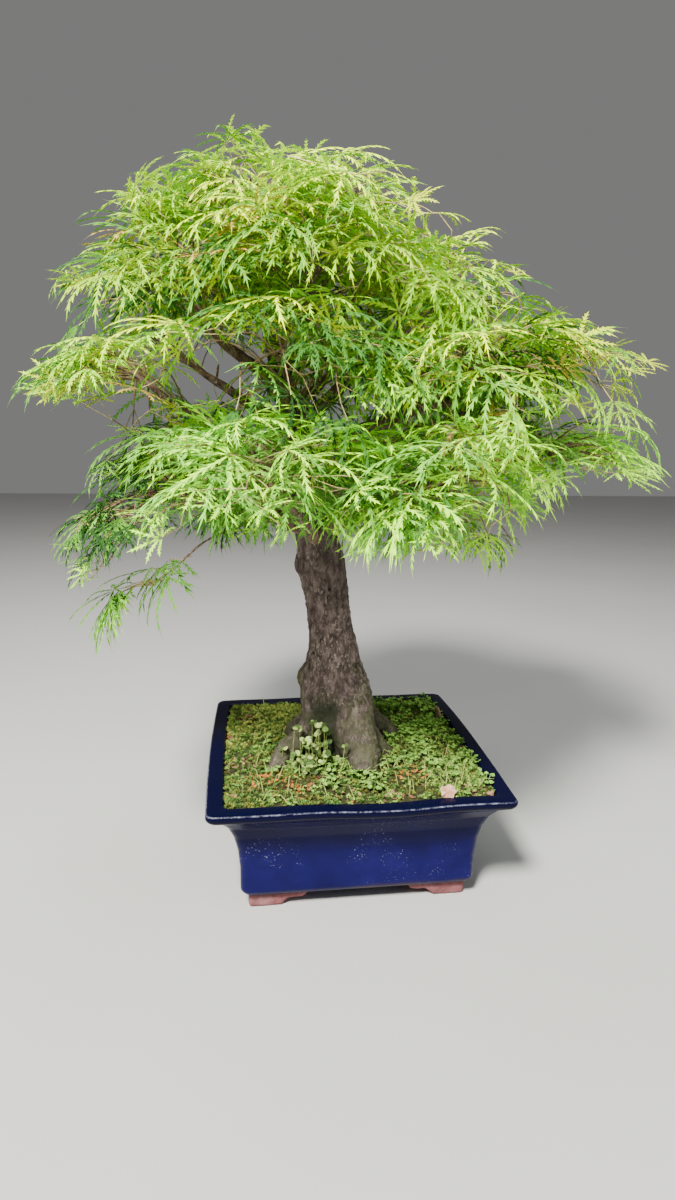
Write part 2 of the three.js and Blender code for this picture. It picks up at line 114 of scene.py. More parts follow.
# Dead leaves lie thick at these places: x, y, radius and kind
LITTER = [
    (-0.099, -0.094, 0.013, "orange"),
    (-0.068, -0.112, 0.017, "orange"),
    (0.059, -0.097, 0.010, "orange"),
    (0.009, -0.069, 0.006, "orange"),
    (-0.122, -0.049, 0.017, "brown"),
    (-0.040, -0.099, 0.016, "brown"),
    (0.037, -0.139, 0.018, "brown"),
    (0.125, -0.135, 0.014, "brown"),
    (-0.118, 0.090, 0.016, "brown"),
]

CARPET_TILT = 0.35
TALL_WEEDS = 48
GRASS_BLADES = 140

# Trunk: height above the moss, lean to the right, lean to the back, radius
TRUNK_STATIONS = [
    (-0.006, -0.008, -0.018, 0.041),
    (0.012, -0.010, -0.018, 0.0415),
    (0.037, -0.0125, -0.017, 0.042),
    (0.063, -0.015, -0.015, 0.0415),
    (0.086, -0.0175, -0.013, 0.037),
    (0.105, -0.0185, -0.011, 0.0315),
    (0.122, -0.0185, -0.010, 0.0275),
    (0.144, -0.021, -0.008, 0.0255),
    (0.170, -0.024, -0.007, 0.025),
    (0.195, -0.027, -0.006, 0.026),
    (0.214, -0.030, -0.006, 0.027),
    (0.240, -0.035, -0.005, 0.024),
    (0.287, -0.043, -0.003, 0.0205),
    (0.341, -0.056, -0.001, 0.017),
    (0.404, -0.072, 0.002, 0.013),
    (0.470, -0.088, 0.004, 0.010),
    (0.545, -0.104, 0.005, 0.0065),
]

# Roots: compass angle from +X in degrees, reach from the trunk's axis, thickness at the trunk
ROOTS = [
    (215, 0.098, 0.019),
    (281, 0.073, 0.034),
    (334, 0.060, 0.019),
    (17, 0.076, 0.020),
    (84, 0.066, 0.020),
    (142, 0.074, 0.019),
]
ROOT_RISE = 0.062
ROOT_SWAY = 0.10

# A root on its way out: share of its reach, height above the moss, share of its sway
ROOT_STOPS = [
    (0.06, ROOT_RISE * 1.25, 0),
    (0.26, ROOT_RISE * 0.88, 0.2),
    (0.52, ROOT_RISE * 0.42, 0.5),
    (0.8, 0.009, 1.0),
    (1.0, -0.006, 0.2),
]

# Burls: height above the moss, compass angle, radius
BURLS = [
    (0.084, 176, 0.012),
    (0.216, 192, 0.013),
]

# Bark: width of a voxel, smoothing steps, and depth of its relief low and high on the trunk and on the boughs
TRUNK_VOXEL = 0.0026
TRUNK_SMOOTHING = 8
TRUNK_RELIEF = (0.0014, 0.0004)
BOUGH_RELIEF = 0.00045

# Masses of foliage: middle x, y, z, half width, half depth, half height, where the bough leaves its parent
# (a height for the trunk, a share of the length for another bough), its thickness there, and its parent
MASSES = {
    "front_low_left": (-0.092, -0.160, 0.446, 0.128, 0.104, 0.080, 0.236, 0.0105, "trunk"),
    "low_left": (-0.198, -0.050, 0.426, 0.116, 0.116, 0.080, 0.252, 0.0125, "trunk"),
    "weeping_left": (-0.236, -0.080, 0.330, 0.064, 0.062, 0.062, 0.72, 0.005, "low_left"),
    "mid_left": (-0.226, -0.044, 0.542, 0.116, 0.114, 0.072, 0.300, 0.0115, "trunk"),
    "upper_left": (-0.190, -0.010, 0.640, 0.112, 0.114, 0.080, 0.388, 0.0095, "trunk"),
    "apex_left": (-0.104, 0.000, 0.718, 0.102, 0.110, 0.068, 0, 0.006, "tip"),
    "apex_right": (0.004, 0.000, 0.712, 0.102, 0.110, 0.070, 0.420, 0.009, "trunk"),
    "right_shoulder": (0.108, -0.026, 0.636, 0.108, 0.110, 0.080, 0.362, 0.010, "trunk"),
    "right_mid": (0.226, -0.036, 0.560, 0.106, 0.112, 0.072, 0.328, 0.011, "trunk"),
    "low_right": (0.216, -0.054, 0.468, 0.118, 0.116, 0.078, 0.264, 0.012, "trunk"),
    "front_low_right": (0.080, -0.156, 0.442, 0.118, 0.106, 0.082, 0.248, 0.0105, "trunk"),
    "middle_right": (0.096, -0.128, 0.548, 0.118, 0.096, 0.076, 0.5, 0.007, "right_mid"),
    "middle_left": (-0.082, -0.134, 0.552, 0.118, 0.096, 0.078, 0.318, 0.009, "trunk"),
    "upper_front": (-0.046, -0.102, 0.648, 0.120, 0.094, 0.078, 0.402, 0.008, "trunk"),
    "back_low_left": (-0.146, 0.140, 0.448, 0.126, 0.112, 0.082, 0.268, 0.0105, "trunk"),
    "back_low_right": (0.066, 0.164, 0.446, 0.128, 0.108, 0.082, 0.280, 0.0105, "trunk"),
    "back_right": (0.200, 0.084, 0.536, 0.112, 0.104, 0.082, 0.300, 0.010, "trunk"),
    "back_left": (-0.206, 0.096, 0.586, 0.108, 0.104, 0.076, 0.352, 0.009, "trunk"),
    "back_middle": (0.002, 0.150, 0.576, 0.118, 0.102, 0.080, 0.372, 0.0095, "trunk"),
    "back_top": (-0.034, 0.106, 0.668, 0.128, 0.098, 0.076, 0.446, 0.008, "trunk"),
}

# Boughs
BOUGH_TIP_SHARE = 0.42
BOUGH_LIFT = 0.16
BOUGH_KNEE = 0.45
BOUGH_AIM = -0.2
BOUGH_OVERRUN = 0.06
EARLIEST_END = 0.5
LATEST_END = 0.86
BOUGH_STEPS = 24
BOUGH_POINTS = 20
STEM_POINTS = 12
BOUGH_SWAY = 0.006
ENTRY_STEP = 0.02
RING_SPACING = 0.0032

# Twigs, shoots and leaves
SPACE_EDGE = 1.06
LEAF_EDGE = 1.19
LEAF_SAG = 0.018
LOWEST_TIP = 0.352
STEM_CREST = 0.2
STEM_BEND_SHARE = 0.4
STEM_TIP_RADIUS = 0.0020
TWIGS_TRIED = 18
TWIG_REACH = (0.40, 0.78)
TWIG_RADII = (0.0013, 0.0006)
TWIG_STEPS = 8
TWIG_BEND = 0.45
TWIG_LIFT = (0.2, 0.5)
FIRST_TWIG_SHARE = 0.15
LAST_TWIG_SHARE = 0.98
LOWEST_POLAR = -0.4
HIGHEST_POLAR = 0.97
POLAR_STEP = 0.7548777
TURN_STEP = 0.5698403
NODE_SPACING = 0.025
SHOOT_SHARE = 0.16
SHOOT_LENGTH = (0.022, 0.048)
SHOOT_RADII = (0.0006, 0.00035)
PETIOLE_LENGTH = (0.020, 0.044)
PETIOLE_RADIUS = 0.00055
LEAF_LENGTH = (0.050, 0.080)
YOUNG_SIZE = 0.55
HIGH_CROWN = (0.66, 0.76)

# Hollows between sprays: their size, how common they are, and how much more so in each mass
GAP_SIZE = 0.046
GAP_LEVEL = -0.26
OPENNESS = {
    "mid_left": 0.40, "low_left": 0.32, "right_mid": 0.35, "low_right": 0.36, "right_shoulder": 0.33,
    "apex_right": 0.18, "apex_left": 0.16, "upper_left": 0.14, "front_low_left": 0.04,
    "front_low_right": 0.04, "middle_right": 0.10, "middle_left": 0.02, "weeping_left": -0.5,
}

# A leaf may stand proud of the box, is tried again smaller, and keeps clear of limbs
LEAF_PROUD = 0.014
LEAF_RETRY = 0.72
LIMB_CLEARANCE = 0.003
LIMB_SWELL = 1.07

# Where a leaf is tried, as shares of its length: how far out its tip, side lobes and blade are, how high its
# arch and how low its edge
TIP_OUT = 0.9
SIDES_OUT = 0.5
BLADE_OUT = 0.45
ARCH_UP = 0.1
EDGE_DROOP = -0.35

# Leaves sit in pairs along this part of a twig
TWIG_POINTS = 16
NODES_FROM = 0.42
NODES_TO = 0.96

# A stalk rises and leans out by these shares, and its leaf wanders from the flow of its mass
STALK_LIFT = 0.35
STALK_OUT = 0.2
STALK_KNEE = 0.55
AHEAD_WANDER = 0.2
TOP_WANDER = 0.25
STEEP_WANDER = 0.18
YOUNG_LIFT = 0.7
STAR_BELOW = 0.40
ARCHED_BELOW = 0.70

# How far leaves hang below the level, in degrees, at the foot and at the crest of a mass, and less at the top
FOOT_DIP = 48
CREST_DIP = -8
HIGH_RISE = 26

# Short twigs that close the crest of a mass
CREST_TWIGS = 3
CREST_LEAN = 0.07
CREST_REACH = 0.22
CREST_RISE = (0.55, 0.75)

# Seeds of the random draws
BOUGH_SEED = 11
MASS_SEED = 101
MASS_SEED_STEP = 17
EDGE_SEED = 700
CREST_SEED = 900
WEED_SEED = 5

# The one hanging spray: a few long leaves at the tip of a thin bough, all towards one compass angle
HANGING = {"weeping_left": 188}
HANGING_STEM = 0.014
HANGING_LEAVES = 7
HANGING_LEAF = 0.074
HANGING_THINNESS = 0.32
BOUGH_LEAVES = 4
BOUGH_LEAVES_FROM = 0.74
BOUGH_LEAVES_TO = 0.95

# Openings of the crown that show the sky: a place on the trunk's plane and its radius
WINDOWS = [
    (-0.180, 0.556, 0.020), (-0.145, 0.562, 0.026), (-0.112, 0.552, 0.021), (-0.227, 0.517, 0.011),
    (-0.173, 0.530, 0.010), (-0.205, 0.500, 0.010), (-0.235, 0.688, 0.010), (-0.234, 0.571, 0.008),
    (-0.277, 0.379, 0.009), (-0.251, 0.385, 0.008), (-0.009, 0.537, 0.012), (-0.008, 0.640, 0.009),
    (0.041, 0.712, 0.009), (0.093, 0.707, 0.010), (0.143, 0.450, 0.009), (0.253, 0.517, 0.014),
    (0.281, 0.563, 0.010), (0.295, 0.527, 0.011),
]

# Outline of the crown seen from the camera, on the trunk's plane, clockwise from the tip of the left tier
OUTLINE = [
    (-0.360, 0.508), (-0.342, 0.548), (-0.333, 0.571), (-0.313, 0.588), (-0.286, 0.591), (-0.257, 0.596),
    (-0.257, 0.603), (-0.285, 0.607), (-0.309, 0.613), (-0.306, 0.631), (-0.308, 0.645), (-0.286, 0.662),
    (-0.277, 0.672), (-0.280, 0.685), (-0.277, 0.700), (-0.258, 0.722), (-0.229, 0.735), (-0.207, 0.746),
    (-0.185, 0.753), (-0.173, 0.765), (-0.161, 0.777), (-0.155, 0.789), (-0.137, 0.803), (-0.121, 0.799),
    (-0.094, 0.790), (-0.082, 0.782), (-0.067, 0.783), (-0.051, 0.780), (-0.031, 0.782), (-0.011, 0.787),
    (-0.001, 0.799), (0.011, 0.809), (0.025, 0.789), (0.040, 0.768), (0.049, 0.757), (0.065, 0.746),
    (0.085, 0.739), (0.103, 0.736), (0.118, 0.717), (0.134, 0.702), (0.157, 0.696), (0.180, 0.676),
    (0.197, 0.660), (0.226, 0.638), (0.259, 0.626), (0.281, 0.617), (0.306, 0.604), (0.334, 0.597),
    (0.371, 0.596), (0.375, 0.571), (0.344, 0.561), (0.327, 0.551), (0.324, 0.541), (0.330, 0.529),
    (0.346, 0.518), (0.364, 0.490), (0.337, 0.475), (0.363, 0.458), (0.393, 0.447), (0.395, 0.429),
    (0.384, 0.413), (0.360, 0.429), (0.330, 0.447), (0.295, 0.454), (0.274, 0.443), (0.281, 0.417),
    (0.262, 0.414), (0.238, 0.440), (0.227, 0.423), (0.238, 0.405), (0.233, 0.391), (0.212, 0.385),
    (0.208, 0.358), (0.188, 0.346), (0.160, 0.336), (0.142, 0.334), (0.120, 0.350), (0.096, 0.347),
    (0.079, 0.330), (0.054, 0.347), (0.028, 0.345), (0.002, 0.332), (-0.010, 0.371), (-0.056, 0.371),
    (-0.070, 0.366), (-0.085, 0.353), (-0.112, 0.372), (-0.145, 0.353), (-0.167, 0.374), (-0.197, 0.375),
    (-0.208, 0.363), (-0.227, 0.355), (-0.257, 0.353), (-0.274, 0.339), (-0.285, 0.318), (-0.315, 0.320),
    (-0.309, 0.343), (-0.325, 0.356), (-0.331, 0.376), (-0.338, 0.386), (-0.292, 0.421), (-0.268, 0.436),
    (-0.288, 0.441), (-0.284, 0.454), (-0.256, 0.465), (-0.247, 0.485), (-0.271, 0.492), (-0.269, 0.507),
    (-0.264, 0.524), (-0.290, 0.526), (-0.310, 0.503), (-0.326, 0.520), (-0.358, 0.502),
]

# Extra sprays of each mass that fill out the crown's edge as the photo shows it: the place of the tip on the
# trunk's plane as the camera sees it, and its depth behind that plane
EDGE_SPRAYS = {
    "apex_left": [(-0.141, 0.781, -0.030), (-0.122, 0.768, -0.040), (-0.153, 0.766, -0.020)],
    "apex_right": [
        (0.005, 0.784, -0.030), (-0.011, 0.763, -0.040), (0.019, 0.761, -0.020), (0.012, 0.792, -0.050),
    ],
    "right_shoulder": [(0.104, 0.710, -0.010), (0.116, 0.703, -0.030)],
    "right_mid": [
        (0.281, 0.556, -0.050), (0.305, 0.564, -0.030), (0.327, 0.581, -0.040), (0.342, 0.584, -0.030),
        (0.312, 0.575, -0.060),
    ],
    "low_right": [
        (0.342, 0.501, -0.060), (0.323, 0.483, -0.050), (0.358, 0.447, -0.070), (0.345, 0.452, -0.060),
        (0.325, 0.461, -0.050), (0.245, 0.457, -0.060), (0.269, 0.463, -0.060), (0.297, 0.466, -0.050),
        (0.253, 0.437, -0.070), (0.263, 0.429, -0.080), (0.240, 0.454, -0.080),
    ],
    "front_low_right": [
        (0.136, 0.376, -0.130), (0.167, 0.376, -0.110), (0.110, 0.376, -0.150), (0.192, 0.379, -0.100),
        (0.150, 0.359, -0.120), (0.008, 0.377, -0.190), (0.025, 0.380, -0.180), (0.005, 0.357, -0.180),
        (0.039, 0.385, -0.170), (0.081, 0.359, -0.150), (0.016, 0.362, -0.190), (0.036, 0.362, -0.180),
        (0.060, 0.356, -0.170), (0.092, 0.362, -0.160), (0.048, 0.374, -0.180),
    ],
    "front_low_left": [
        (-0.078, 0.386, -0.180), (-0.092, 0.377, -0.170), (-0.100, 0.394, -0.170), (-0.070, 0.377, -0.170),
        (-0.112, 0.383, -0.160), (-0.128, 0.380, -0.150), (-0.145, 0.366, -0.150), (-0.087, 0.366, -0.180),
    ],
    "low_left": [
        (-0.296, 0.356, -0.090), (-0.278, 0.347, -0.080), (-0.313, 0.386, -0.070), (-0.321, 0.367, -0.080),
        (-0.303, 0.331, -0.090), (-0.266, 0.378, -0.070), (-0.300, 0.378, -0.090), (-0.304, 0.363, -0.095),
        (-0.284, 0.359, -0.095), (-0.293, 0.343, -0.090), (-0.269, 0.352, -0.100), (-0.315, 0.352, -0.085),
        (-0.256, 0.363, -0.105), (-0.316, 0.375, -0.080), (-0.254, 0.508, -0.020), (-0.247, 0.492, -0.030),
        (-0.267, 0.458, -0.060), (-0.183, 0.378, -0.120), (-0.167, 0.380, -0.130),
    ],
    "mid_left": [
        (-0.215, 0.518, -0.030), (-0.192, 0.511, -0.010), (-0.351, 0.516, -0.060), (-0.334, 0.541, -0.060),
        (-0.322, 0.566, -0.050), (-0.321, 0.556, -0.060), (-0.233, 0.503, -0.040), (-0.317, 0.536, -0.060),
        (-0.300, 0.537, -0.060), (-0.280, 0.537, -0.050), (-0.258, 0.518, -0.040),
    ],
    "middle_left": [(-0.165, 0.534, -0.040), (-0.141, 0.530, -0.060)],
    "upper_left": [
        (-0.260, 0.699, -0.020), (-0.249, 0.709, -0.010), (-0.224, 0.729, -0.020), (-0.300, 0.622, -0.040),
        (-0.291, 0.634, -0.030), (-0.278, 0.637, -0.050), (-0.265, 0.688, -0.030), (-0.253, 0.698, -0.040),
    ],
}
EDGE_SPRAY_ROOT = 0.8

# Camera: its place, the way it looks in degrees, and its lens in millimetres
CAMERA_PLACE = Vector((-0.1133, -0.7842, 0.4869))
CAMERA_TURN = 7.35
CAMERA_DIP = 12.62
CAMERA_ROLL = 0.80
CAMERA_LENS = 21.0


def spot(x, y, z):
    """A point measured from the middle of the pot, in the frame."""
    return HOME + Vector((x, y, z))


def mix(low, high, share):
    """The value at a share of the way from low to high."""
    return low + (high - low) * share


def smooth(low, high, value):
    """0 up to low and 1 from high on, with a smooth rise between them."""
    share = min(max((value - low) / (high - low), 0), 1)
    return share * share * (3 - 2 * share)


def compass(degrees):
    """A level direction, counted counter-clockwise from +X."""
    return Vector((math.cos(math.radians(degrees)), math.sin(math.radians(degrees)), 0))


def unit(vector):
    """The same direction, one metre long."""
    return vector.normalized()


# Curves
class Curve:
    """A curve sampled densely, read by its share of length."""

    def __init__(self, points):
        self.points = np.array(points, float)
        steps = np.linalg.norm(np.diff(self.points, axis=0), axis=1)
        self.along = np.concatenate([[0], np.cumsum(steps)])
        self.length = float(self.along[-1])
        self.along /= self.length

    def at(self, share):
        return Vector([float(np.interp(share, self.along, self.points[:, k])) for k in range(3)])

    def heading(self, share):
        return (self.at(min(share + 0.01, 1)) - self.at(max(share - 0.01, 0))).normalized()


def arc(start, bend, end, steps=24):
    """A quadratic curve from start towards bend and on to end."""
    shares = [k / steps for k in range(steps + 1)]
    return Curve([start * (1 - t) ** 2 + bend * (2 * t * (1 - t)) + end * t**2 for t in shares])


def through(places, steps=16):
    """A centripetal Catmull-Rom curve through places."""
    ends = [places[0] * 2 - places[1], *places, places[-1] * 2 - places[-2]]
    points = []
    for a, b, c, d in zip(ends, ends[1:], ends[2:], ends[3:]):
        t0 = 0.0
        t1 = t0 + math.sqrt((b - a).length)
        t2 = t1 + math.sqrt((c - b).length)
        t3 = t2 + math.sqrt((d - c).length)
        for k in range(steps):
            t = mix(t1, t2, k / steps)
            ab = a.lerp(b, (t - t0) / (t1 - t0))
            bc = b.lerp(c, (t - t1) / (t2 - t1))
            cd = c.lerp(d, (t - t2) / (t3 - t2))
            abc = ab.lerp(bc, (t - t0) / (t2 - t0))
            bcd = bc.lerp(cd, (t - t1) / (t3 - t1))
            points.append(abc.lerp(bcd, (t - t1) / (t2 - t1)))
    return Curve([*points, places[-1]])


# Meshes
def in_scene(name, data):
    """A new object for a mesh, a lamp or a lens, put into the scene."""
    made = bpy.data.objects.new(name, data)
    bpy.context.scene.collection.objects.link(made)
    return made


def bare_mesh(name, points, edges, faces):
    """A mesh of points with its edges or its faces."""
    mesh = bpy.data.meshes.new(name)
    mesh.from_pydata([tuple(p) for p in points], edges, faces)
    return mesh


def mesh_piece(name, points, faces, material, smooth_faces=True):
    """A piece of one material, made of faces."""
    mesh = bare_mesh(name, points, [], faces)
    mesh.materials.append(material)
    if smooth_faces:
        mesh.shade_smooth()
    mesh.update()
    return in_scene(name, mesh)


def keep_values(mesh, name, values, kind="FLOAT", field="value"):
    """Stores one value for each point of a mesh under a name."""
    mesh.attributes.new(name, kind, "POINT").data.foreach_set(field, values)


def repaint(piece, material):
    """Gives a piece another material."""
    piece.data.materials.clear()
    piece.data.materials.append(material)


def modify(piece, kind, **settings):
    """Puts one modifier on a piece."""
    made = piece.modifiers.new(kind.lower(), kind)
    for key, value in settings.items():
        setattr(made, key, value)


def baked(piece):
    """The piece with its modifiers made real, as a plain mesh at the origin."""
    bpy.context.view_layer.update()
    graph = bpy.context.evaluated_depsgraph_get()
    mesh = bpy.data.meshes.new_from_object(piece.evaluated_get(graph))
    name = piece.name
    old = piece.data
    bpy.data.objects.remove(piece)
    if not old.users:
        bpy.data.meshes.remove(old)
    mesh.name = name
    return in_scene(name, mesh)


def lofted(loops):
    """Points and faces of a closed skin over loops of equal count, counter-clockwise from the last one."""
    count = len(loops[0])
    last = (len(loops) - 1) * count
    points = [p for loop in loops for p in loop]
    faces = []
    for k in range(len(loops) - 1):
        for i in range(count):
            a = k * count + i
            b = k * count + (i + 1) % count
            faces.append((a, b, b + count, a + count))
    faces.append(tuple(range(count - 1, -1, -1)))
    faces.append(tuple(range(last, last + count)))
    return points, faces


def limb_loops(curve, radius_at, sides, rings):
    """Loops round a curve, kept from twisting; radius_at gives a radius at a share of length and an angle."""
    side = curve.heading(0).orthogonal().normalized()
    loops = []
    for k in range(rings + 1):
        share = k / rings
        ahead = curve.heading(share)
        side = (side - ahead * side.dot(ahead)).normalized()
        other = ahead.cross(side)
        middle = curve.at(share)
        loop = []
        for i in range(sides):
            angle = 2 * math.pi * i / sides
            radius = radius_at(share, angle)
            loop.append(middle + side * (radius * math.cos(angle)) + other * (radius * math.sin(angle)))
        loops.append(loop)
    return loops


def weather(piece, height_at, attribute=None):
    """Moves each vertex along its normal by a height found from its place, and may keep the heights."""
    mesh = piece.data
    heights = [height_at(vertex.co - HOME) for vertex in mesh.vertices]
    normals = [vertex.normal.copy() for vertex in mesh.vertices]
    for vertex, normal, height in zip(mesh.vertices, normals, heights):
        vertex.co += normal * height
    if attribute:
        low, high = min(heights), max(heights)
        keep_values(mesh, attribute, [(height - low) / (high - low) for height in heights])
    mesh.update()


def joined(parts):
    """One list of points and one of faces from several pairs of them."""
    points, faces = [], []
    for more_points, more_faces in parts:
        base = len(points)
        points.extend(more_points)
        faces.extend(tuple(base + i for i in face) for face in more_faces)
    return points, faces


def dress(piece, nodes=()):
    """Rides a finished piece on the one body, and hides the nodes that it stands for."""
    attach(piece, "root")
    if nodes:
        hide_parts(*nodes)
    return piece


# Materials
class NodeKit:
    """Nodes of one tree, made by kind and fed by the names of their inputs."""

    def __init__(self, tree):
        self.tree = tree

    def node(self, kind, **settings):
        made = self.tree.nodes.new(kind)
        for key, value in settings.items():
            setattr(made, key, value)
        return made

    def link(self, output, target):
        self.tree.links.new(output, target)

    def feed(self, socket, value):
        """Links an output to a socket, or sets the socket itself to a plain value."""
        if isinstance(value, bpy.types.NodeSocket):
            self.link(value, socket)
        else:
            socket.default_value = (*value, 1) if socket.type == "RGBA" else value

    def fed(self, kind, inputs, **settings):
        """A node with its settings and its inputs."""
        made = self.node(kind, **settings)
        for name, value in inputs.items():
            self.feed(made.inputs[name], value)
        return made


class Finish(NodeKit):
    """A procedural material under construction; its body is the colour made so far."""

    def __init__(self, name, roughness, specular):
        self.material = bpy.data.materials.new(name)
        self.material.use_nodes = True
        super().__init__(self.material.node_tree)
        self.surface = self.tree.nodes["Principled BSDF"]
        self.surface.inputs["Roughness"].default_value = roughness
        self.surface.inputs["Specular IOR Level"].default_value = specular
        self.place = self.node("ShaderNodeTexCoord").outputs["Object"]
        self.body = None

    def mapping(self, stretch):
        """Places measured from the middle of the pot, with each axis stretched."""
        shift = [-middle * scale for middle, scale in zip(HOME, stretch)]
        inputs = {"Vector": self.place, "Location": shift, "Scale": stretch}
        return self.fed("ShaderNodeMapping", inputs).outputs["Vector"]

    def axis(self, name):
        """One coordinate measured from the middle of the pot."""
        return self.fed("ShaderNodeSeparateXYZ", {"Vector": self.mapping((1, 1, 1))}).outputs[name]

    def noise(self, scale, detail=4, roughness=0.55, stretch=(1, 1, 1), distortion=0.0):
        inputs = {"Vector": self.mapping(stretch), "Scale": scale, "Detail": detail, "Roughness": roughness}
        return self.fed("ShaderNodeTexNoise", {**inputs, "Distortion": distortion}).outputs["Fac"]

    def attribute(self, name):
        return self.node("ShaderNodeAttribute", attribute_name=name).outputs["Fac"]

    def ramp(self, source, stops):
        made = self.fed("ShaderNodeValToRGB", {"Fac": source})
        band = made.color_ramp
        while len(band.elements) < len(stops):
            band.elements.new(0.5)
        for element, (position, color) in zip(band.elements, stops):
            element.position = position
            element.color = (*color, 1)
        return made.outputs["Color"]

    def math(self, operation, a, b):
        return self.fed("ShaderNodeMath", {0: a, 1: b}, operation=operation).outputs["Value"]

    def times(self, product, *factors):
        for factor in factors:
            product = self.math("MULTIPLY", product, factor)
        return product

    def above(self, source, low, high):
        """0 below low and 1 above high, smooth between them."""
        inputs = {"Value": source, "From Min": low, "From Max": high}
        return self.fed("ShaderNodeMapRange", inputs, interpolation_type="SMOOTHSTEP").outputs["Result"]

    def below(self, source, low, high):
        """1 below low and 0 above high, smooth between them."""
        return self.math("SUBTRACT", 1.0, self.above(source, low, high))

    def cover(self, color, strength, *masks):
        """Lays a colour over the body, at a strength, where every mask is high."""
        made = self.fed("ShaderNodeMix", {"Factor": self.times(*masks, strength)}, data_type="RGBA")
        under, over = [socket for socket in made.inputs if socket.type == "RGBA"]
        self.feed(under, self.body)
        self.feed(over, color)
        self.body = next(socket for socket in made.outputs if socket.type == "RGBA")

    def rough(self, source, low, high):
        spread = self.fed("ShaderNodeMapRange", {"Value": source, "To Min": low, "To Max": high})
        self.link(spread.outputs["Result"], self.surface.inputs["Roughness"])

    def bump(self, source, height, strength):
        made = self.fed("ShaderNodeBump", {"Height": source, "Distance": height, "Strength": strength})
        self.link(made.outputs["Normal"], self.surface.inputs["Normal"])

    def done(self):
        self.feed(self.surface.inputs["Base Color"], self.body)
        return self.material


def glaze_finish():
    """Deep navy gloss glaze: mottled, with clustered pale specks, painted shade up the wall, a painted dark
    reflection on the rim, and worn glaze with a painted highlight along the lip.
    """
    glaze = Finish("navy_glaze", roughness=0.22, specular=0.08)
    dark, mid, pale = (0.0044, 0.0036, 0.046), (0.0072, 0.0056, 0.071), (0.0120, 0.0094, 0.102)
    glaze.body = glaze.ramp(glaze.noise(18, detail=5), [(0.30, dark), (0.55, mid), (0.78, pale)])
    specks = glaze.above(glaze.noise(520, detail=2), 0.66, 0.71)
    clusters = glaze.above(glaze.noise(17, detail=3), 0.50, 0.62)
    glaze.cover((0.34, 0.37, 0.46), 1.0, specks, clusters)
    height = glaze.axis("Z")
    # Painted shade: the glaze is made darker up the wall towards the lip, where the rim shades it
    painted_shade_up_wall = glaze.above(height, FOOT_HEIGHT + 0.035, LIP_UNDER - 0.005)
    glaze.cover((0.0008, 0.0012, 0.020), 0.75, painted_shade_up_wall)
    # Painted reflection: the rim's top and outer face are darkened to near-black navy, as if they mirrored
    # dark surroundings
    glaze.cover((0.0012, 0.0014, 0.015), 0.9, glaze.attribute("land"))
    # Worn glaze and a painted highlight: a broken pale line along the outer top edge of the lip
    wear_and_highlight_breaks = glaze.above(glaze.noise(240, detail=6, roughness=0.7), 0.38, 0.70)
    glaze.cover((0.40, 0.42, 0.54), 0.55, glaze.attribute("edge"), wear_and_highlight_breaks)
    hem = glaze.below(height, FOOT_HEIGHT, FOOT_HEIGHT + 0.012)
    patches = glaze.above(glaze.noise(20, detail=4), 0.48, 0.62)
    glaze.cover((0.055, 0.030, 0.022), 0.8, hem, patches)
    glaze.rough(glaze.noise(60, detail=5), 0.16, 0.34)
    glaze.bump(glaze.noise(90, detail=3), height=0.0004, strength=0.3)
    return glaze.done()


def clay_finish():
    """Bare pinkish fired clay with pits and soil stains."""
    clay = Finish("bare_clay", roughness=0.85, specular=0.25)
    tones = [(0.30, (0.145, 0.051, 0.052)), (0.52, (0.23, 0.086, 0.092)), (0.72, (0.31, 0.138, 0.145))]
    clay.body = clay.ramp(clay.noise(70, detail=6), tones)
    clay.cover((0.13, 0.075, 0.05), 0.6, clay.above(clay.noise(24, detail=4), 0.54, 0.70))
    clay.rough(clay.noise(150), 0.72, 0.95)
    clay.bump(clay.noise(420, detail=5), height=0.0010, strength=0.6)
    return clay.done()


def bark_finish(name, dark, mid, pale, foot_algae_moss_and_shade=False):
    """Grey-brown bark: painted shade in its furrows, pale on its plates, and algae, moss and painted shade at
    its foot and under the crown where that is asked.
    """
    bark = Finish(name, roughness=0.88, specular=0.25)
    plates = bark.noise(130, detail=8, roughness=0.70, stretch=(1, 1, 0.45), distortion=0.5)
    bark.body = bark.ramp(plates, [(0.30, dark), (0.48, mid), (0.66, pale)])
    flecks = bark.above(bark.noise(400, detail=4, stretch=(1, 1, 0.5)), 0.56, 0.64)
    patches = bark.above(bark.noise(36, detail=3), 0.36, 0.58)
    bark.cover((0.46, 0.38, 0.33), 0.7, flecks, patches)
    relief = bark.attribute("relief")
    # Painted shade: the bark is darkened where its relief is lowest, in the furrows
    bark.cover(dark, 1.0, bark.above(relief, 0.45, 0.20))
    if foot_algae_moss_and_shade:
        paint_foot_algae_moss_and_shade(bark, dark)
    bark.rough(relief, 0.95, 0.75)
    bark.bump(bark.noise(520, detail=6, stretch=(1, 1, 0.35)), height=0.0011, strength=0.7)
    return bark.done()


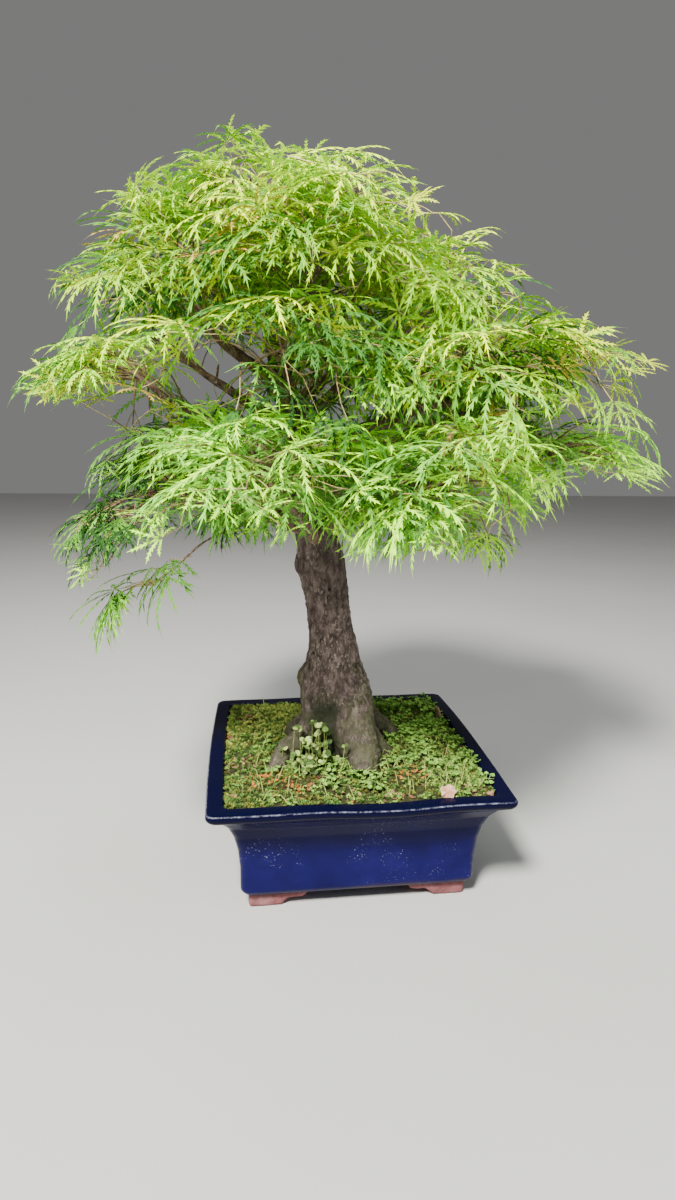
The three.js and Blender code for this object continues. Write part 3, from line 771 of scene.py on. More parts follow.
def paint_foot_algae_moss_and_shade(bark, dark):
    """The trunk's lower bark: algae, painted shade in a hollow between two roots, a mossy knob, painted shade
    at the foot, and painted shadow of the crown above.
    """
    across = bark.axis("X")
    rise = bark.math("SUBTRACT", bark.axis("Z"), MOSS_CROWN)
    wet = bark.below(rise, 0.02, 0.15)
    sunless = bark.math("MAXIMUM", bark.times(bark.above(across, -0.03, 0.035), 0.8), bark.times(wet, 0.5))
    bark.cover((0.085, 0.105, 0.034), 1.0, bark.above(bark.noise(60, detail=6), 0.40, 0.56), wet, sunless)
    wander = bark.times(bark.math("SUBTRACT", bark.noise(40, detail=4), 0.5), 0.030)
    spread = bark.math("ABSOLUTE", bark.math("ADD", bark.math("ADD", across, 0.034), wander), 0.0)
    front = bark.below(bark.axis("Y"), -0.035, -0.020)
    hollow = bark.below(spread, 0.009, 0.022)
    # Painted shade: near-black green in the hollow between two roots at the front of the foot
    bark.cover((0.016, 0.024, 0.009), 0.92, hollow, bark.below(rise, 0.055, 0.085), front)
    knob = bark.times(bark.below(across, -0.060, -0.052), bark.above(rise, 0.062, 0.072))
    bark.cover((0.085, 0.100, 0.030), 0.8, knob, bark.below(rise, 0.097, 0.107))
    # Painted shade: the bark is darkened just above the moss, at the trunk's foot
    bark.cover((0.034, 0.036, 0.020), 0.62, bark.below(rise, 0.02, 0.075))
    # Painted shadow of the crown: the bark is darkened from a little above the moss upwards
    bark.cover(dark, 0.45, bark.above(rise, 0.10, 0.22))


def soil_finish():
    """The ground under the tufts: dark soil with a felt of moss in uneven patches."""
    soil = Finish("moss_ground", roughness=0.95, specular=0.2)
    felt = [(0.30, (0.012, 0.010, 0.006)), (0.48, (0.030, 0.034, 0.010)), (0.64, (0.075, 0.100, 0.022)),
            (0.80, (0.18, 0.24, 0.055))]
    soil.body = soil.ramp(soil.noise(190, detail=7, roughness=0.7), felt)
    soil.cover((0.030, 0.020, 0.014), 0.75, soil.above(soil.noise(30, detail=5), 0.48, 0.64))
    soil.bump(soil.noise(700, detail=5), height=0.002, strength=0.8)
    return soil.done()


def leaf_finish(name, color):
    """Soft satin leaf: its tint is plain, and a fine grain breaks its sheen."""
    leaf = Finish(name, roughness=0.6, specular=0.10)
    leaf.body = color
    leaf.rough(leaf.noise(240, detail=3), 0.50, 0.72)
    leaf.bump(leaf.noise(420, detail=2), height=0.0004, strength=0.3)
    return leaf.done()


def grain_finish(name, dark, light, scale=160, roughness=0.8):
    """A matt finish of two tones in fine grain, for twigs, tufts, weeds and litter."""
    grain = Finish(name, roughness, specular=0.3)
    grain.body = grain.ramp(grain.noise(scale, detail=4), [(0.35, dark), (0.65, light)])
    grain.bump(grain.noise(scale * 3, detail=2), height=0.0004, strength=0.4)
    return grain.done()


# Geometry node trees
class NodeTree(NodeKit):
    """A geometry node tree that ends in Realize Instances and Set Material, with named inputs."""

    def __init__(self, name):
        super().__init__(bpy.data.node_groups.new(name, "GeometryNodeTree"))
        for way in ("INPUT", "OUTPUT"):
            self.tree.interface.new_socket("Geometry", in_out=way, socket_type="NodeSocketGeometry")
        self.entry = self.node("NodeGroupInput")
        self.exit = self.node("NodeGroupOutput")

    def input(self, name, kind, value=None):
        socket = self.tree.interface.new_socket(name, in_out="INPUT", socket_type=kind)
        if value is not None:
            socket.default_value = value
        return self.entry.outputs[name]

    def named(self, attribute, kind):
        inputs = {"Name": attribute}
        return self.fed("GeometryNodeInputNamedAttribute", inputs, data_type=kind).outputs["Attribute"]

    def finish(self, geometry, material):
        real = self.fed("GeometryNodeRealizeInstances", {"Geometry": geometry})
        inputs = {"Geometry": real.outputs["Geometry"], "Material": material}
        paint = self.fed("GeometryNodeSetMaterial", inputs)
        self.link(paint.outputs["Geometry"], self.exit.inputs["Geometry"])

    def apply(self, piece, **values):
        """Puts the tree on a piece with its inputs set, and returns the plain mesh piece that it makes."""
        modifier = piece.modifiers.new(self.tree.name, "NODES")
        modifier.node_group = self.tree
        for item in self.tree.interface.items_tree:
            if item.item_type == "SOCKET" and item.in_out == "INPUT" and item.name in values:
                modifier[item.identifier] = values[item.name]
        return baked(piece)


def enabled(sockets, kind):
    """The sockets of a node that are in use and of one kind."""
    return [socket for socket in sockets if socket.enabled and socket.type == kind]


def limb_tree():
    """Round limbs of changing thickness along the edges of a mesh."""
    made = NodeTree("limbs_on_lines")
    sides = made.input("Sides", "NodeSocketInt", 3)
    material = made.input("Material", "NodeSocketMaterial")
    line = made.fed("GeometryNodeMeshToCurve", {"Mesh": made.entry.outputs["Geometry"]})
    ring = made.fed("GeometryNodeCurvePrimitiveCircle", {"Resolution": sides, "Radius": 1.0})
    skin = made.fed("GeometryNodeCurveToMesh", {
        "Curve": line.outputs["Curve"], "Profile Curve": ring.outputs["Curve"],
        "Scale": made.named("thickness", "FLOAT"), "Fill Caps": True,
    })
    made.finish(skin.outputs["Mesh"], material)
    return made


def spray_tree():
    """Four forms of one small thing, set on points that say how each is turned, its size and its form."""
    made = NodeTree("sprays_on_points")
    forms = [made.input(f"Form {k}", "NodeSocketObject") for k in range(4)]
    material = made.input("Material", "NodeSocketMaterial")
    turn = made.fed("FunctionNodeEulerToRotation", {"Euler": made.named("turn", "FLOAT_VECTOR")})
    size = made.named("size", "FLOAT")
    wanted = made.named("form", "INT")
    join = made.node("GeometryNodeJoinGeometry")
    for k, form in enumerate(forms):
        shape = made.fed("GeometryNodeObjectInfo", {"Object": form})
        chosen = made.node("FunctionNodeCompare", data_type="INT", operation="EQUAL")
        for socket, value in zip(enabled(chosen.inputs, "INT"), (wanted, k)):
            made.feed(socket, value)
        scatter = made.fed("GeometryNodeInstanceOnPoints", {
            "Points": made.entry.outputs["Geometry"], "Selection": chosen.outputs["Result"],
            "Instance": shape.outputs["Geometry"], "Rotation": turn.outputs["Rotation"], "Scale": size,
        })
        made.link(scatter.outputs["Instances"], join.inputs["Geometry"])
    made.finish(join.outputs["Geometry"], material)
    return made


def carpet_tree():
    """One small thing scattered over a surface, thick where the surface's growth is high."""
    made = NodeTree("carpet_on_faces")
    form = made.input("Form", "NodeSocketObject")
    density = made.input("Density", "NodeSocketFloat", 1000.0)
    seed = made.input("Seed", "NodeSocketInt", 1)
    smallest = made.input("Smallest", "NodeSocketFloat", 0.7)
    largest = made.input("Largest", "NodeSocketFloat", 1.3)
    growth = made.input("Growth", "NodeSocketString", "growth")
    material = made.input("Material", "NodeSocketMaterial")
    grown = made.named(growth, "FLOAT")
    thick = made.fed("ShaderNodeMath", {0: density, 1: grown}, operation="MULTIPLY")
    scatter = made.fed("GeometryNodeDistributePointsOnFaces", {
        "Mesh": made.entry.outputs["Geometry"], "Density": thick.outputs["Value"], "Seed": seed,
    })
    spin = made.fed("FunctionNodeRandomValue", {"Seed": seed}, data_type="FLOAT_VECTOR")
    least, most = enabled(spin.inputs, "VECTOR")
    least.default_value = (-CARPET_TILT, -CARPET_TILT, 0.0)
    most.default_value = (CARPET_TILT, CARPET_TILT, 6.28)
    turn = made.fed("FunctionNodeEulerToRotation", {"Euler": enabled(spin.outputs, "VECTOR")[0]})
    grow = made.fed("FunctionNodeRandomValue", {"Seed": seed}, data_type="FLOAT")
    for socket, value in zip(enabled(grow.inputs, "VALUE"), (smallest, largest)):
        made.feed(socket, value)
    shape = made.fed("GeometryNodeObjectInfo", {"Object": form})
    place = made.fed("GeometryNodeInstanceOnPoints", {
        "Points": scatter.outputs["Points"], "Instance": shape.outputs["Geometry"],
        "Rotation": turn.outputs["Rotation"], "Scale": enabled(grow.outputs, "VALUE")[0],
    })
    made.finish(place.outputs["Instances"], material)
    return made


# Pot and feet
def square_loop(half, corner, bow, z, side_steps=26, corner_steps=7, wave=0.0):
    """One level loop of a square with round corners and bowed sides; wave lets a hand-made rim wander."""
    loop = []
    for side in range(4):
        turn = Matrix.Rotation(side * math.pi / 2, 3, "Z")
        flat = []
        straight = half - corner
        for k in range(corner_steps + 1):
            angle = (k / corner_steps - 1) * math.pi / 2
            flat.append((straight + corner * math.cos(angle), -straight + corner * math.sin(angle)))
        for k in range(1, side_steps):
            along = 2 * k / side_steps - 1
            flat.append((half + bow * (1 - along * along), along * straight))
        for x, y in flat:
            p = turn @ Vector((x, y, 0))
            rise = wave * noise.noise(Vector((p.x * 12, p.y * 12, 0.3)))
            loop.append(spot(p.x, p.y, z + rise))
    return loop


def bow_at(z):
    """How far the pot's sides bow out at a height."""
    return SIDE_BOW * smooth(FOOT_HEIGHT + 0.056, LIP_UNDER, z)


def rounded_outline(corners, radius=0.0016, steps=3):
    """The outline with each inner corner replaced by a short arc."""
    made = [corners[0]]
    for before, here, after in zip(corners, corners[1:], corners[2:]):
        before, here, after = Vector(before), Vector(here), Vector(after)
        cut = min(radius, (before - here).length * 0.45, (after - here).length * 0.45)
        start = here + (before - here).normalized() * cut
        end = here + (after - here).normalized() * cut
        for k in range(steps + 1):
            t = k / steps
            made.append(tuple(start * (1 - t) ** 2 + here * (2 * t * (1 - t)) + end * t**2))
    made.append(corners[-1])
    return made


def make_pot(material):
    """One skin that runs up the wall, over the lip and down to the floor inside."""
    outer = [
        (BODY_HALF - 0.009, FOOT_HEIGHT),
        (BODY_HALF - 0.003, FOOT_HEIGHT + 0.0025),
        (BODY_HALF, FOOT_HEIGHT + 0.008),
        (BODY_HALF, FOOT_HEIGHT + 0.034),
        (BODY_HALF + 0.002, FOOT_HEIGHT + 0.056),
        (BODY_HALF + 0.006, FOOT_HEIGHT + 0.074),
        (BODY_HALF + 0.012, FOOT_HEIGHT + 0.089),
        (BODY_HALF + 0.020, LIP_UNDER - 0.007),
        (BODY_HALF + 0.027, LIP_UNDER - 0.002),
        (RIM_HALF - 0.002, LIP_UNDER),
        (RIM_HALF, LIP_UNDER + 0.0035),
        (RIM_HALF, POT_HEIGHT - 0.0025),
        (RIM_HALF - 0.002, POT_HEIGHT),
        (RIM_HALF - RIM_LAND, POT_HEIGHT),
        (RIM_HALF - RIM_LAND - 0.002, POT_HEIGHT - 0.0025),
        (RIM_HALF - RIM_LAND - 0.004, LIP_UNDER),
        (BODY_HALF + 0.012 - WALL + 0.005, FOOT_HEIGHT + 0.089),
        (BODY_HALF + 0.006 - WALL, FOOT_HEIGHT + 0.072),
        (BODY_HALF - WALL, FOOT_HEIGHT + 0.040),
        (BODY_HALF - WALL - 0.001, FLOOR_LEVEL + 0.005),
        (BODY_HALF - WALL - 0.005, FLOOR_LEVEL),
    ]
    loops, edges, painted_dark_rim_shares = [], [], []
    for half, z in rounded_outline(outer):
        wave = RIM_WAVE * smooth(LIP_UNDER - 0.01, LIP_UNDER, z)
        loops.append(square_loop(half, POT_CORNER, bow_at(z), min(z, POT_HEIGHT), wave=wave))
        # The lip's outer top edge, for worn glaze with a painted highlight
        wear_and_highlight = z > POT_HEIGHT - WEAR_AND_HIGHLIGHT_DROP and WEAR_AND_HIGHLIGHT_INSET[0] < RIM_HALF - half < WEAR_AND_HIGHLIGHT_INSET[1]
        edges.extend([1.0 if wear_and_highlight else 0.0] * len(loops[-1]))
        # Painted dark reflection: marks the faces of the rim for the glaze to darken
        painted_dark_rim_shares.extend([1.0 if z > LIP_UNDER + 0.001 else 0.0] * len(loops[-1]))
    pot = mesh_piece("glazed_pot", *lofted(loops), material)
    keep_values(pot.data, "edge", edges)
    keep_values(pot.data, "land", painted_dark_rim_shares)
    for face in pot.data.polygons:
        if len(face.vertices) > 4:
            face.use_smooth = False
    return dress(pot, ["pot"])


def foot_arm(shape, turn, flip):
    """One arm of a foot: its side with a step at the end, drawn out to the arm's depth."""
    corner = -(RIM_HALF - FOOT_INSET)
    profile = [(0, 0), (FOOT_FULL, 0), (FOOT_FULL + FOOT_CHAMFER, FOOT_HEIGHT - FOOT_STEP)]
    for k in range(7):
        a = k / 6 * math.pi / 2
        profile.append((FOOT_LENGTH - FOOT_STEP * (1 - math.sin(a)), FOOT_HEIGHT - FOOT_STEP * math.cos(a)))
    profile.append((0, FOOT_HEIGHT))
    front, back = [], []
    for x, z in profile:
        for row, y in ((front, 0), (back, FOOT_DEPTH)):
            p = Vector((y, x, z)) if flip else Vector((x, y, z))
            p += Vector((corner, corner, 0))
            row.append(shape.verts.new(HOME + turn @ p))
    made = [shape.faces.new(front), shape.faces.new(list(reversed(back)))]
    for i in range(len(profile)):
        j = (i + 1) % len(profile)
        made.append(shape.faces.new((front[j], front[i], back[i], back[j])))
    if flip:
        bmesh.ops.reverse_faces(shape, faces=made)


def make_feet(material):
    """Four angles of clay with a low rounded step at the end of each arm, fused and softened."""
    shape = bmesh.new()
    for k in range(4):
        turn = Matrix.Rotation(k * math.pi / 2, 3, "Z")
        for flip in (False, True):
            foot_arm(shape, turn, flip)
    mesh = bpy.data.meshes.new("clay_feet")
    shape.to_mesh(mesh)
    shape.free()
    feet = in_scene("clay_feet", mesh)
    modify(feet, "REMESH", mode="VOXEL", voxel_size=FOOT_VOXEL, use_smooth_shade=True)
    modify(feet, "SMOOTH", iterations=FOOT_SMOOTHING, factor=0.5)
    feet = baked(feet)
    weather(feet, lambda p: 0.00035 * noise.fractal(p * 160, 1.0, 2.0, 3))
    repaint(feet, material)
    for vertex in feet.data.vertices:
        vertex.co.z = min(max(vertex.co.z, 0), FOOT_HEIGHT + 0.0002)
    nodes = ["foot_front_left", "foot_front_right", "foot_back_right", "foot_back_left"]
    return dress(feet, nodes)


# Trunk and boughs
TRUNK_CURVE = through([spot(x, y, MOSS_CROWN + h) for h, x, y, _ in TRUNK_STATIONS])
STATION_HEIGHTS = [row[0] for row in TRUNK_STATIONS]
STATION_RADII = [row[3] for row in TRUNK_STATIONS]


def trunk_share_at(z):
    """The share of the trunk's length that is reached at a height."""
    return float(np.interp(z, TRUNK_CURVE.points[:, 2], TRUNK_CURVE.along))


def trunk_radius_at_height(z):
    """The trunk's radius at a height, without its flutes."""
    return float(np.interp(z - MOSS_CROWN, STATION_HEIGHTS, STATION_RADII))


def trunk_skin(share, angle):
    """Radius of the trunk, with three broad flutes and five fine ones that wind up it."""
    z = TRUNK_CURVE.at(share).z
    flute = 1 + 0.045 * math.cos(3 * angle + z / 0.060) + 0.025 * math.cos(5 * angle - z / 0.035)
    return trunk_radius_at_height(z) * flute


def scaled(p, across, up):
    """A place for noise that is finer one way than the other."""
    return Vector((p.x * across, p.y * across, p.z * up))


def bark_height(p, depth):
    """Relief of bark at a place: long furrows that follow the grain, cross cracks and a fine crust."""
    bend = noise.noise(p * 22) * 1.4
    furrow = abs(noise.noise(scaled(p, 150, 45) + Vector((bend, bend, 0))))
    furrow = -depth * 0.8 * max(0.0, 1 - furrow / 0.16) ** 1.4
    crack = abs(noise.noise(scaled(p, 60, 150) + Vector((7, 3, bend))))
    crack = -depth * 0.25 * max(0.0, 1 - crack / 0.10)
    crust = depth * 0.80 * noise.fractal(scaled(p, 260, 140), 0.9, 2.1, 3)
    swell = depth * 0.9 * noise.noise(p * 38)
    return furrow + crack + crust + swell


def root_part(number, angle, reach, thickness):
    """One root: high at the trunk, swayed to a side, and down into the moss at its end."""
    base_x, base_y = TRUNK_STATIONS[0][1:3]
    ahead = compass(angle)
    across = UP.cross(ahead)
    sway = ROOT_SWAY * reach * (1 if number % 2 else -1)
    places = [
        spot(base_x, base_y, MOSS_CROWN + rise) + ahead * (reach * share) + across * (sway * swing)
        for share, rise, swing in ROOT_STOPS
    ]

    def girth(share, _):
        return thickness * (1 - 0.5 * share) * mix(0.45, 1, smooth(0, 0.30, share))

    return lofted(limb_loops(through(places), girth, sides=20, rings=36))


def burl_part(height, angle, radius):
    """One burl: a ball half sunk in the trunk."""
    z = MOSS_CROWN + height
    middle = TRUNK_CURVE.at(trunk_share_at(z)) + compass(angle) * (trunk_radius_at_height(z) - radius * 0.45)
    ball = through([middle - UP * radius * 1.25, middle, middle + UP * radius * 1.25])

    def girth(share, _):
        return radius * math.sqrt(max(1 - (2 * share - 1) ** 2, 0.01))

    return lofted(limb_loops(ball, girth, sides=16, rings=12))


def collar_part(bough):
    """The swelling of the trunk where a bough leaves it."""
    collar = Curve([bough["curve"].at(share) for share in (0, 0.05, 0.1, 0.16)])

    def girth(share, _):
        return bough["thickness"] * mix(1.35, 0.85, share)

    return lofted(limb_loops(collar, girth, sides=14, rings=6))


def make_trunk(material):
    """Trunk, root flare and burls grown into one skin that ends under the moss, then given their bark."""
    parts = [lofted(limb_loops(TRUNK_CURVE, trunk_skin, sides=48, rings=120))]
    parts += [root_part(number, *root) for number, root in enumerate(ROOTS)]
    parts += [burl_part(*burl) for burl in BURLS]
    parts += [collar_part(bough) for bough in BOUGHS.values() if bough["parent"] == "trunk"]
    trunk = mesh_piece("trunk_bark", *joined(parts), material)
    modify(trunk, "REMESH", mode="VOXEL", voxel_size=TRUNK_VOXEL)
    modify(trunk, "CORRECTIVE_SMOOTH", use_only_smooth=True, iterations=TRUNK_SMOOTHING)
    modify(trunk, "SUBSURF", levels=1, render_levels=1)
    trunk = baked(trunk)

    def relief(p):
        return bark_height(p, mix(*TRUNK_RELIEF, smooth(MOSS_CROWN + 0.2, MOSS_CROWN + 0.5, p.z)))

    weather(trunk, relief, "relief")
    repaint(trunk, material)
    trunk.data.shade_smooth()
    return dress(trunk, ["trunk"])


# Spaces: a mass holds the points that are nearer to its own middle, by its own measure, than to any other's
SPACE_NAMES = list(MASSES)
SPACE_MIDDLES = np.array([list(spot(*row[:3])) for row in MASSES.values()])
SPACE_HALVES = np.array([row[3:6] for row in MASSES.values()])


def owners(points, edge=SPACE_EDGE):
    """For each point, the number of the space that holds it, or -1 where none does."""
    away = (np.asarray(points, float)[:, None, :] - SPACE_MIDDLES) / SPACE_HALVES
    depth = np.linalg.norm(away, axis=2)
    nearest = depth.argmin(axis=1)
    nearest[depth.min(axis=1) > edge] = -1
    return nearest


def lay_boughs():
    """Each bough leaves its parent, rises, and bends out to its mass, where it ends."""
    boughs = {}
    for number, (name, row) in enumerate(MASSES.items()):
        start, thickness, parent = row[6:]
        middle = Vector(SPACE_MIDDLES[number])
        if parent == "tip":
            boughs[name] = {
                "curve": None, "parent": parent, "thickness": thickness, "tip_radius": TRUNK_STATIONS[-1][3],
                "end": TRUNK_CURVE.at(1), "direction": TRUNK_CURVE.heading(1),
            }
            continue
        if parent == "trunk":
            source = TRUNK_CURVE.at(trunk_share_at(MOSS_CROWN + start))
        else:
            source = boughs[parent]["curve"].at(start)
        target = middle + UP * (BOUGH_AIM * row[5])
        across = target - source
        run = math.hypot(across.x, across.y)
        knee = source + across * BOUGH_KNEE + UP * (BOUGH_LIFT * run)
        whole = arc(source, knee, target)
        entry = 1.0
        while entry > 0 and owners([whole.at(entry)])[0] == number:
            entry -= ENTRY_STEP
        end_share = min(max(entry + BOUGH_OVERRUN, EARLIEST_END), LATEST_END)
        curve = Curve([whole.at(end_share * k / BOUGH_STEPS) for k in range(BOUGH_STEPS + 1)])
        boughs[name] = {
            "curve": curve, "parent": parent, "end": curve.at(1), "direction": curve.heading(1),
            "thickness": thickness, "tip_radius": thickness * BOUGH_TIP_SHARE,
        }
    return boughs


def stem_of(name):
    """The line that carries on from the bough's tip to a little above the middle of the mass."""
    bough = BOUGHS[name]
    row = MASSES[name]
    crest = spot(*row[:3]) + UP * (STEM_CREST * row[5])
    if name in HANGING:
        crest = bough["end"] + bough["direction"] * HANGING_STEM
    bend = bough["end"] + bough["direction"] * ((crest - bough["end"]).length * STEM_BEND_SHARE)
    return arc(bough["end"], bend, crest)


def make_boughs(material):
    """Boughs and the stems that carry on from them, with knuckles of old side twigs, in one piece."""
    parts = []
    chance = random.Random(BOUGH_SEED)
    for name, bough in BOUGHS.items():
        stem = stem_of(name)
        thinness = HANGING_THINNESS if name in HANGING else 1
        line = [stem.at(k / STEM_POINTS) for k in range(STEM_POINTS + 1)]
        root_radius = bough["tip_radius"]
        if bough["curve"]:
            line[:1] = [bough["curve"].at(k / BOUGH_POINTS) for k in range(BOUGH_POINTS + 1)]
            root_radius = bough["thickness"] * thinness
        tip_radius = STEM_TIP_RADIUS * thinness
        phase = Vector([chance.uniform(0, 90) for _ in range(3)])
        length = sum((b - a).length for a, b in zip(line, line[1:]))
        run = 0.0
        bent = []
        for k, p in enumerate(line):
            run += (p - line[k - 1]).length if k else 0
            shift = Vector([noise.noise(phase * (axis + 1) + Vector((run * 22, 0, 0))) for axis in range(3)])
            bent.append(p + shift * (BOUGH_SWAY * smooth(0.05, 0.3, run / length)))

        def girth(share, angle):
            around = Vector((share * length * 90, math.cos(angle), math.sin(angle)))
            return mix(root_radius, tip_radius, share**0.8) * (1 + 0.10 * noise.noise(phase + around))

        rings = max(24, int(length / RING_SPACING))
        parts.append(lofted(limb_loops(Curve(bent), girth, sides=14, rings=rings)))
    boughs = mesh_piece("bough_bark", *joined(parts), material)
    weather(boughs, lambda p: bark_height(p, BOUGH_RELIEF), "relief")
    return dress(boughs, [f"bough_{name}" for name, bough in BOUGHS.items() if bough["curve"]])


# Leaves: the way of each lobe in degrees, its length as a share of the leaf's, and its pairs of teeth
LEAF_LOBES = [
    (-126, 0.54, 4), (-84, 0.80, 5), (-42, 0.95, 6), (0, 1.0, 6),
    (42, 0.95, 6), (84, 0.80, 5), (126, 0.54, 4),
]

# Half the breadth of each form of leaf as a share of its length, and the number of the young form
FORM_BREADTHS = (0.65, 0.5, 0.3, 0.5)
YOUNG_FORM = 3


def leaf_form(name, droop, spread, tooth_reach=0.056, rib_half=0.013):
    """A leaf cut to its stalk into narrow toothed lobes that arch over, one unit long along +Y, top to +Z."""
    points, faces = [], []

    def add(*corners):
        base = len(points)
        points.extend(corners)
        faces.append(tuple(range(base, base + len(corners))))

    for number, (degrees, reach, teeth) in enumerate(LEAF_LOBES):
        turn = math.radians(degrees * spread)
        ahead = Vector((math.sin(turn), math.cos(turn), 0))
        across = Vector((ahead.y, -ahead.x, 0))
        fall = droop * (1 + 0.25 * math.sin(2.4 * number))

        def rib(share):
            angle = fall * share * share
            along = mix(0.03, reach, share)
            sway = 0.09 * math.sin(2.4 * share + 1.7 * number)
            forward = ahead * (along * math.cos(angle * 0.5)) + across * (sway * share)
            return forward - UP * (along * math.sin(angle * 0.5))

        for k in range(teeth):
            low = k / (teeth + 1.2)
            high = (k + 1) / (teeth + 1.2)
            width = rib_half * mix(1.0, 0.65, low)
            tooth = tooth_reach * reach**0.5 * math.sin(math.pi * min(low * 0.80 + 0.20, 1)) + 0.006
            point = rib(min(high + 0.45 / teeth, 1)) - UP * 0.012
            add(rib(low) + across * width, rib(high) + across * width, point - across * tooth)
            add(rib(high) - across * width, rib(low) - across * width, point + across * tooth)
        last = teeth / (teeth + 1.2)
        add(rib(last) - across * rib_half * 0.8, rib(last) + across * rib_half * 0.8, rib(1.06))
    return small_form(name, points, faces)


def small_form(name, points, faces):
    """One small thing, one unit or its true size long, for a node tree to scatter."""
    return in_scene(name, bare_mesh(name, points, [], faces))


class Growth:
    """Collects the lines and leaves of the whole crown while its masses grow."""

    def __init__(self):
        self.twigs = []
        self.shoots = []
        self.leaves = []


def mass_of(name):
    """Middle and half sizes of a mass, and the compass angle of its leaves if it hangs."""
    row = MASSES[name]
    return spot(*row[:3]), Vector(row[3:6]), HANGING.get(name)


def flow_at(place, middle, half):
    """The way that leaves hang at a place in a mass: outwards, and steeper the lower they are."""
    away = place - middle
    out = unit(Vector((away.x / half.x, away.y / half.y, 0.001)))
    height = away.z / half.z
    rise = HIGH_RISE * smooth(*HIGH_CROWN, place.z) * smooth(0.1, 0.9, height)
    dip = math.radians(mix(FOOT_DIP, CREST_DIP, smooth(-0.7, 0.95, height)) - rise)
    return out * math.cos(dip) - UP * math.sin(dip), out


def add_leaf(growth, chance, seat, start, mass, spray, lateral=0.0, young=False):
    """One stalk that leaves its twig, and the leaf at its end, hanging with the flow of its mass."""
    middle, half, hanging = mass
    flow, out = flow_at(seat, middle, half)
    if hanging:
        out = compass(hanging)
        flow = unit(out * 0.8 - UP)
        lateral *= 0.3
    length = chance.uniform(*PETIOLE_LENGTH)
    start = unit(start + UP * STALK_LIFT + out * STALK_OUT)
    sideways = unit(flow.cross(UP))
    wander = Vector([chance.gauss(0, AHEAD_WANDER) for _ in range(3)])
    ahead = unit(flow + sideways * lateral + start * 0.3 + wander + UP * (YOUNG_LIFT if young else 0))
    knee = seat + start * length * STALK_KNEE
    end = knee + unit(start + ahead * 0.7) * length * 0.5
    top = unit(UP * 0.9 + out * 0.5 + Vector([chance.gauss(0, TOP_WANDER) for _ in range(3)]))
    side = unit(ahead.cross(top))
    top = side.cross(ahead)
    size = chance.uniform(*LEAF_LENGTH) * (YOUNG_SIZE if young else 1)
    if hanging:
        size = HANGING_LEAF * chance.uniform(0.8, 1.05)
    steep = -ahead.z + chance.gauss(0, STEEP_WANDER)
    form = YOUNG_FORM if young else 0 if steep < STAR_BELOW else 1 if steep < ARCHED_BELOW else 2
    growth.leaves.append({
        "seat": end, "ahead": ahead, "side": side, "top": top, "size": size, "spray": spray,
        "petiole": (seat, knee, end), "form": form, "free": False, "share": 1,
    })


def hang_leaves(growth, chance, name, mass, stem):
    """Long leaves at the tip of a hanging bough, and shorter ones along it."""
    spray = -1
    for k in range(HANGING_LEAVES):
        way = 1 if k % 2 else -1
        share = 1 - 0.8 * k / HANGING_LEAVES
        add_leaf(growth, chance, stem.at(share), stem.heading(share) * 0.6, mass, spray, 0.5 * way * (k > 0))
    bough = BOUGHS[name]["curve"]
    for k in range(BOUGH_LEAVES):
        way = 1 if k % 2 else -1
        share = mix(BOUGH_LEAVES_FROM, BOUGH_LEAVES_TO, k / (BOUGH_LEAVES - 1))
        along = bough.heading(share)
        across = unit(along.cross(UP)) * way
        add_leaf(growth, chance, bough.at(share), along * 0.4 + across, mass, spray, 0.6 * way)
        growth.leaves[-1]["free"] = True


def grow_mass(name, number, growth):
    """Stem, twigs, shoots and leaves of one mass, by the rule of its solid carried to finer twigs."""
    chance = random.Random(MASS_SEED + MASS_SEED_STEP * number)
    mass = mass_of(name)
    middle, half, _ = mass
    stem = stem_of(name)
    if name in HANGING:
        hang_leaves(growth, chance, name, mass, stem)
        return
    first_turn = chance.random() * 2 * math.pi
    for k in range(TWIGS_TRIED):
        order = (0.5 + k * POLAR_STEP) % 1
        polar = mix(LOWEST_POLAR, HIGHEST_POLAR, order)
        turn = first_turn + 2 * math.pi * k * TURN_STEP
        level = math.sqrt(1 - polar * polar)
        reach = mix(*TWIG_REACH, chance.random()) * (1 + 0.25 * max(polar, 0))
        outward = Vector((level * math.cos(turn) * half.x, level * math.sin(turn) * half.y, polar * half.z))
        tip = middle + outward * reach
        root = stem.at(mix(FIRST_TWIG_SHARE, LAST_TWIG_SHARE, order))
        away = tip - root
        away.z = 0
        away = unit(away)
        ahead = unit(away * (polar * (half.x + half.y) / 2) - UP * (level * half.z))
        ahead = unit(ahead + away * chance.uniform(*TWIG_LIFT))
        sway = Vector([chance.uniform(-0.006, 0.006) for _ in range(3)])
        bend = tip - ahead * (TWIG_BEND * (tip - root).length) + sway
        line = arc(root, bend, tip, TWIG_POINTS)
        held = owners([line.at(share) for share in (0.4, 0.6, 0.8, 1)])
        if (held != number).any():
            continue
        grow_twig(growth, chance, line, mass)


def raised_line(root, tip, share, lift):
    """A line from root to tip, drawn up at a share of its way by a share of its length."""
    return arc(root, mix(root, tip, share) + UP * (lift * (tip - root).length), tip, TWIG_POINTS)


def crown_stem(name, number, growth):
    """Short twigs that rise from the end of a mass's stem and close its crest from above."""
    chance = random.Random(CREST_SEED + number)
    middle, half, hanging = mass_of(name)
    root = stem_of(name).at(0.98)
    for k in range(CREST_TWIGS):
        way = compass(k * 360 / CREST_TWIGS + 40 * number)
        rise = half.z * chance.uniform(*CREST_RISE)
        tip = middle + Vector((way.x * half.x * CREST_REACH, way.y * half.y * CREST_REACH, rise))
        leaning = (middle + way * CREST_LEAN, half, hanging)
        grow_twig(growth, chance, raised_line(root, tip, 0.5, 0.25), leaning)


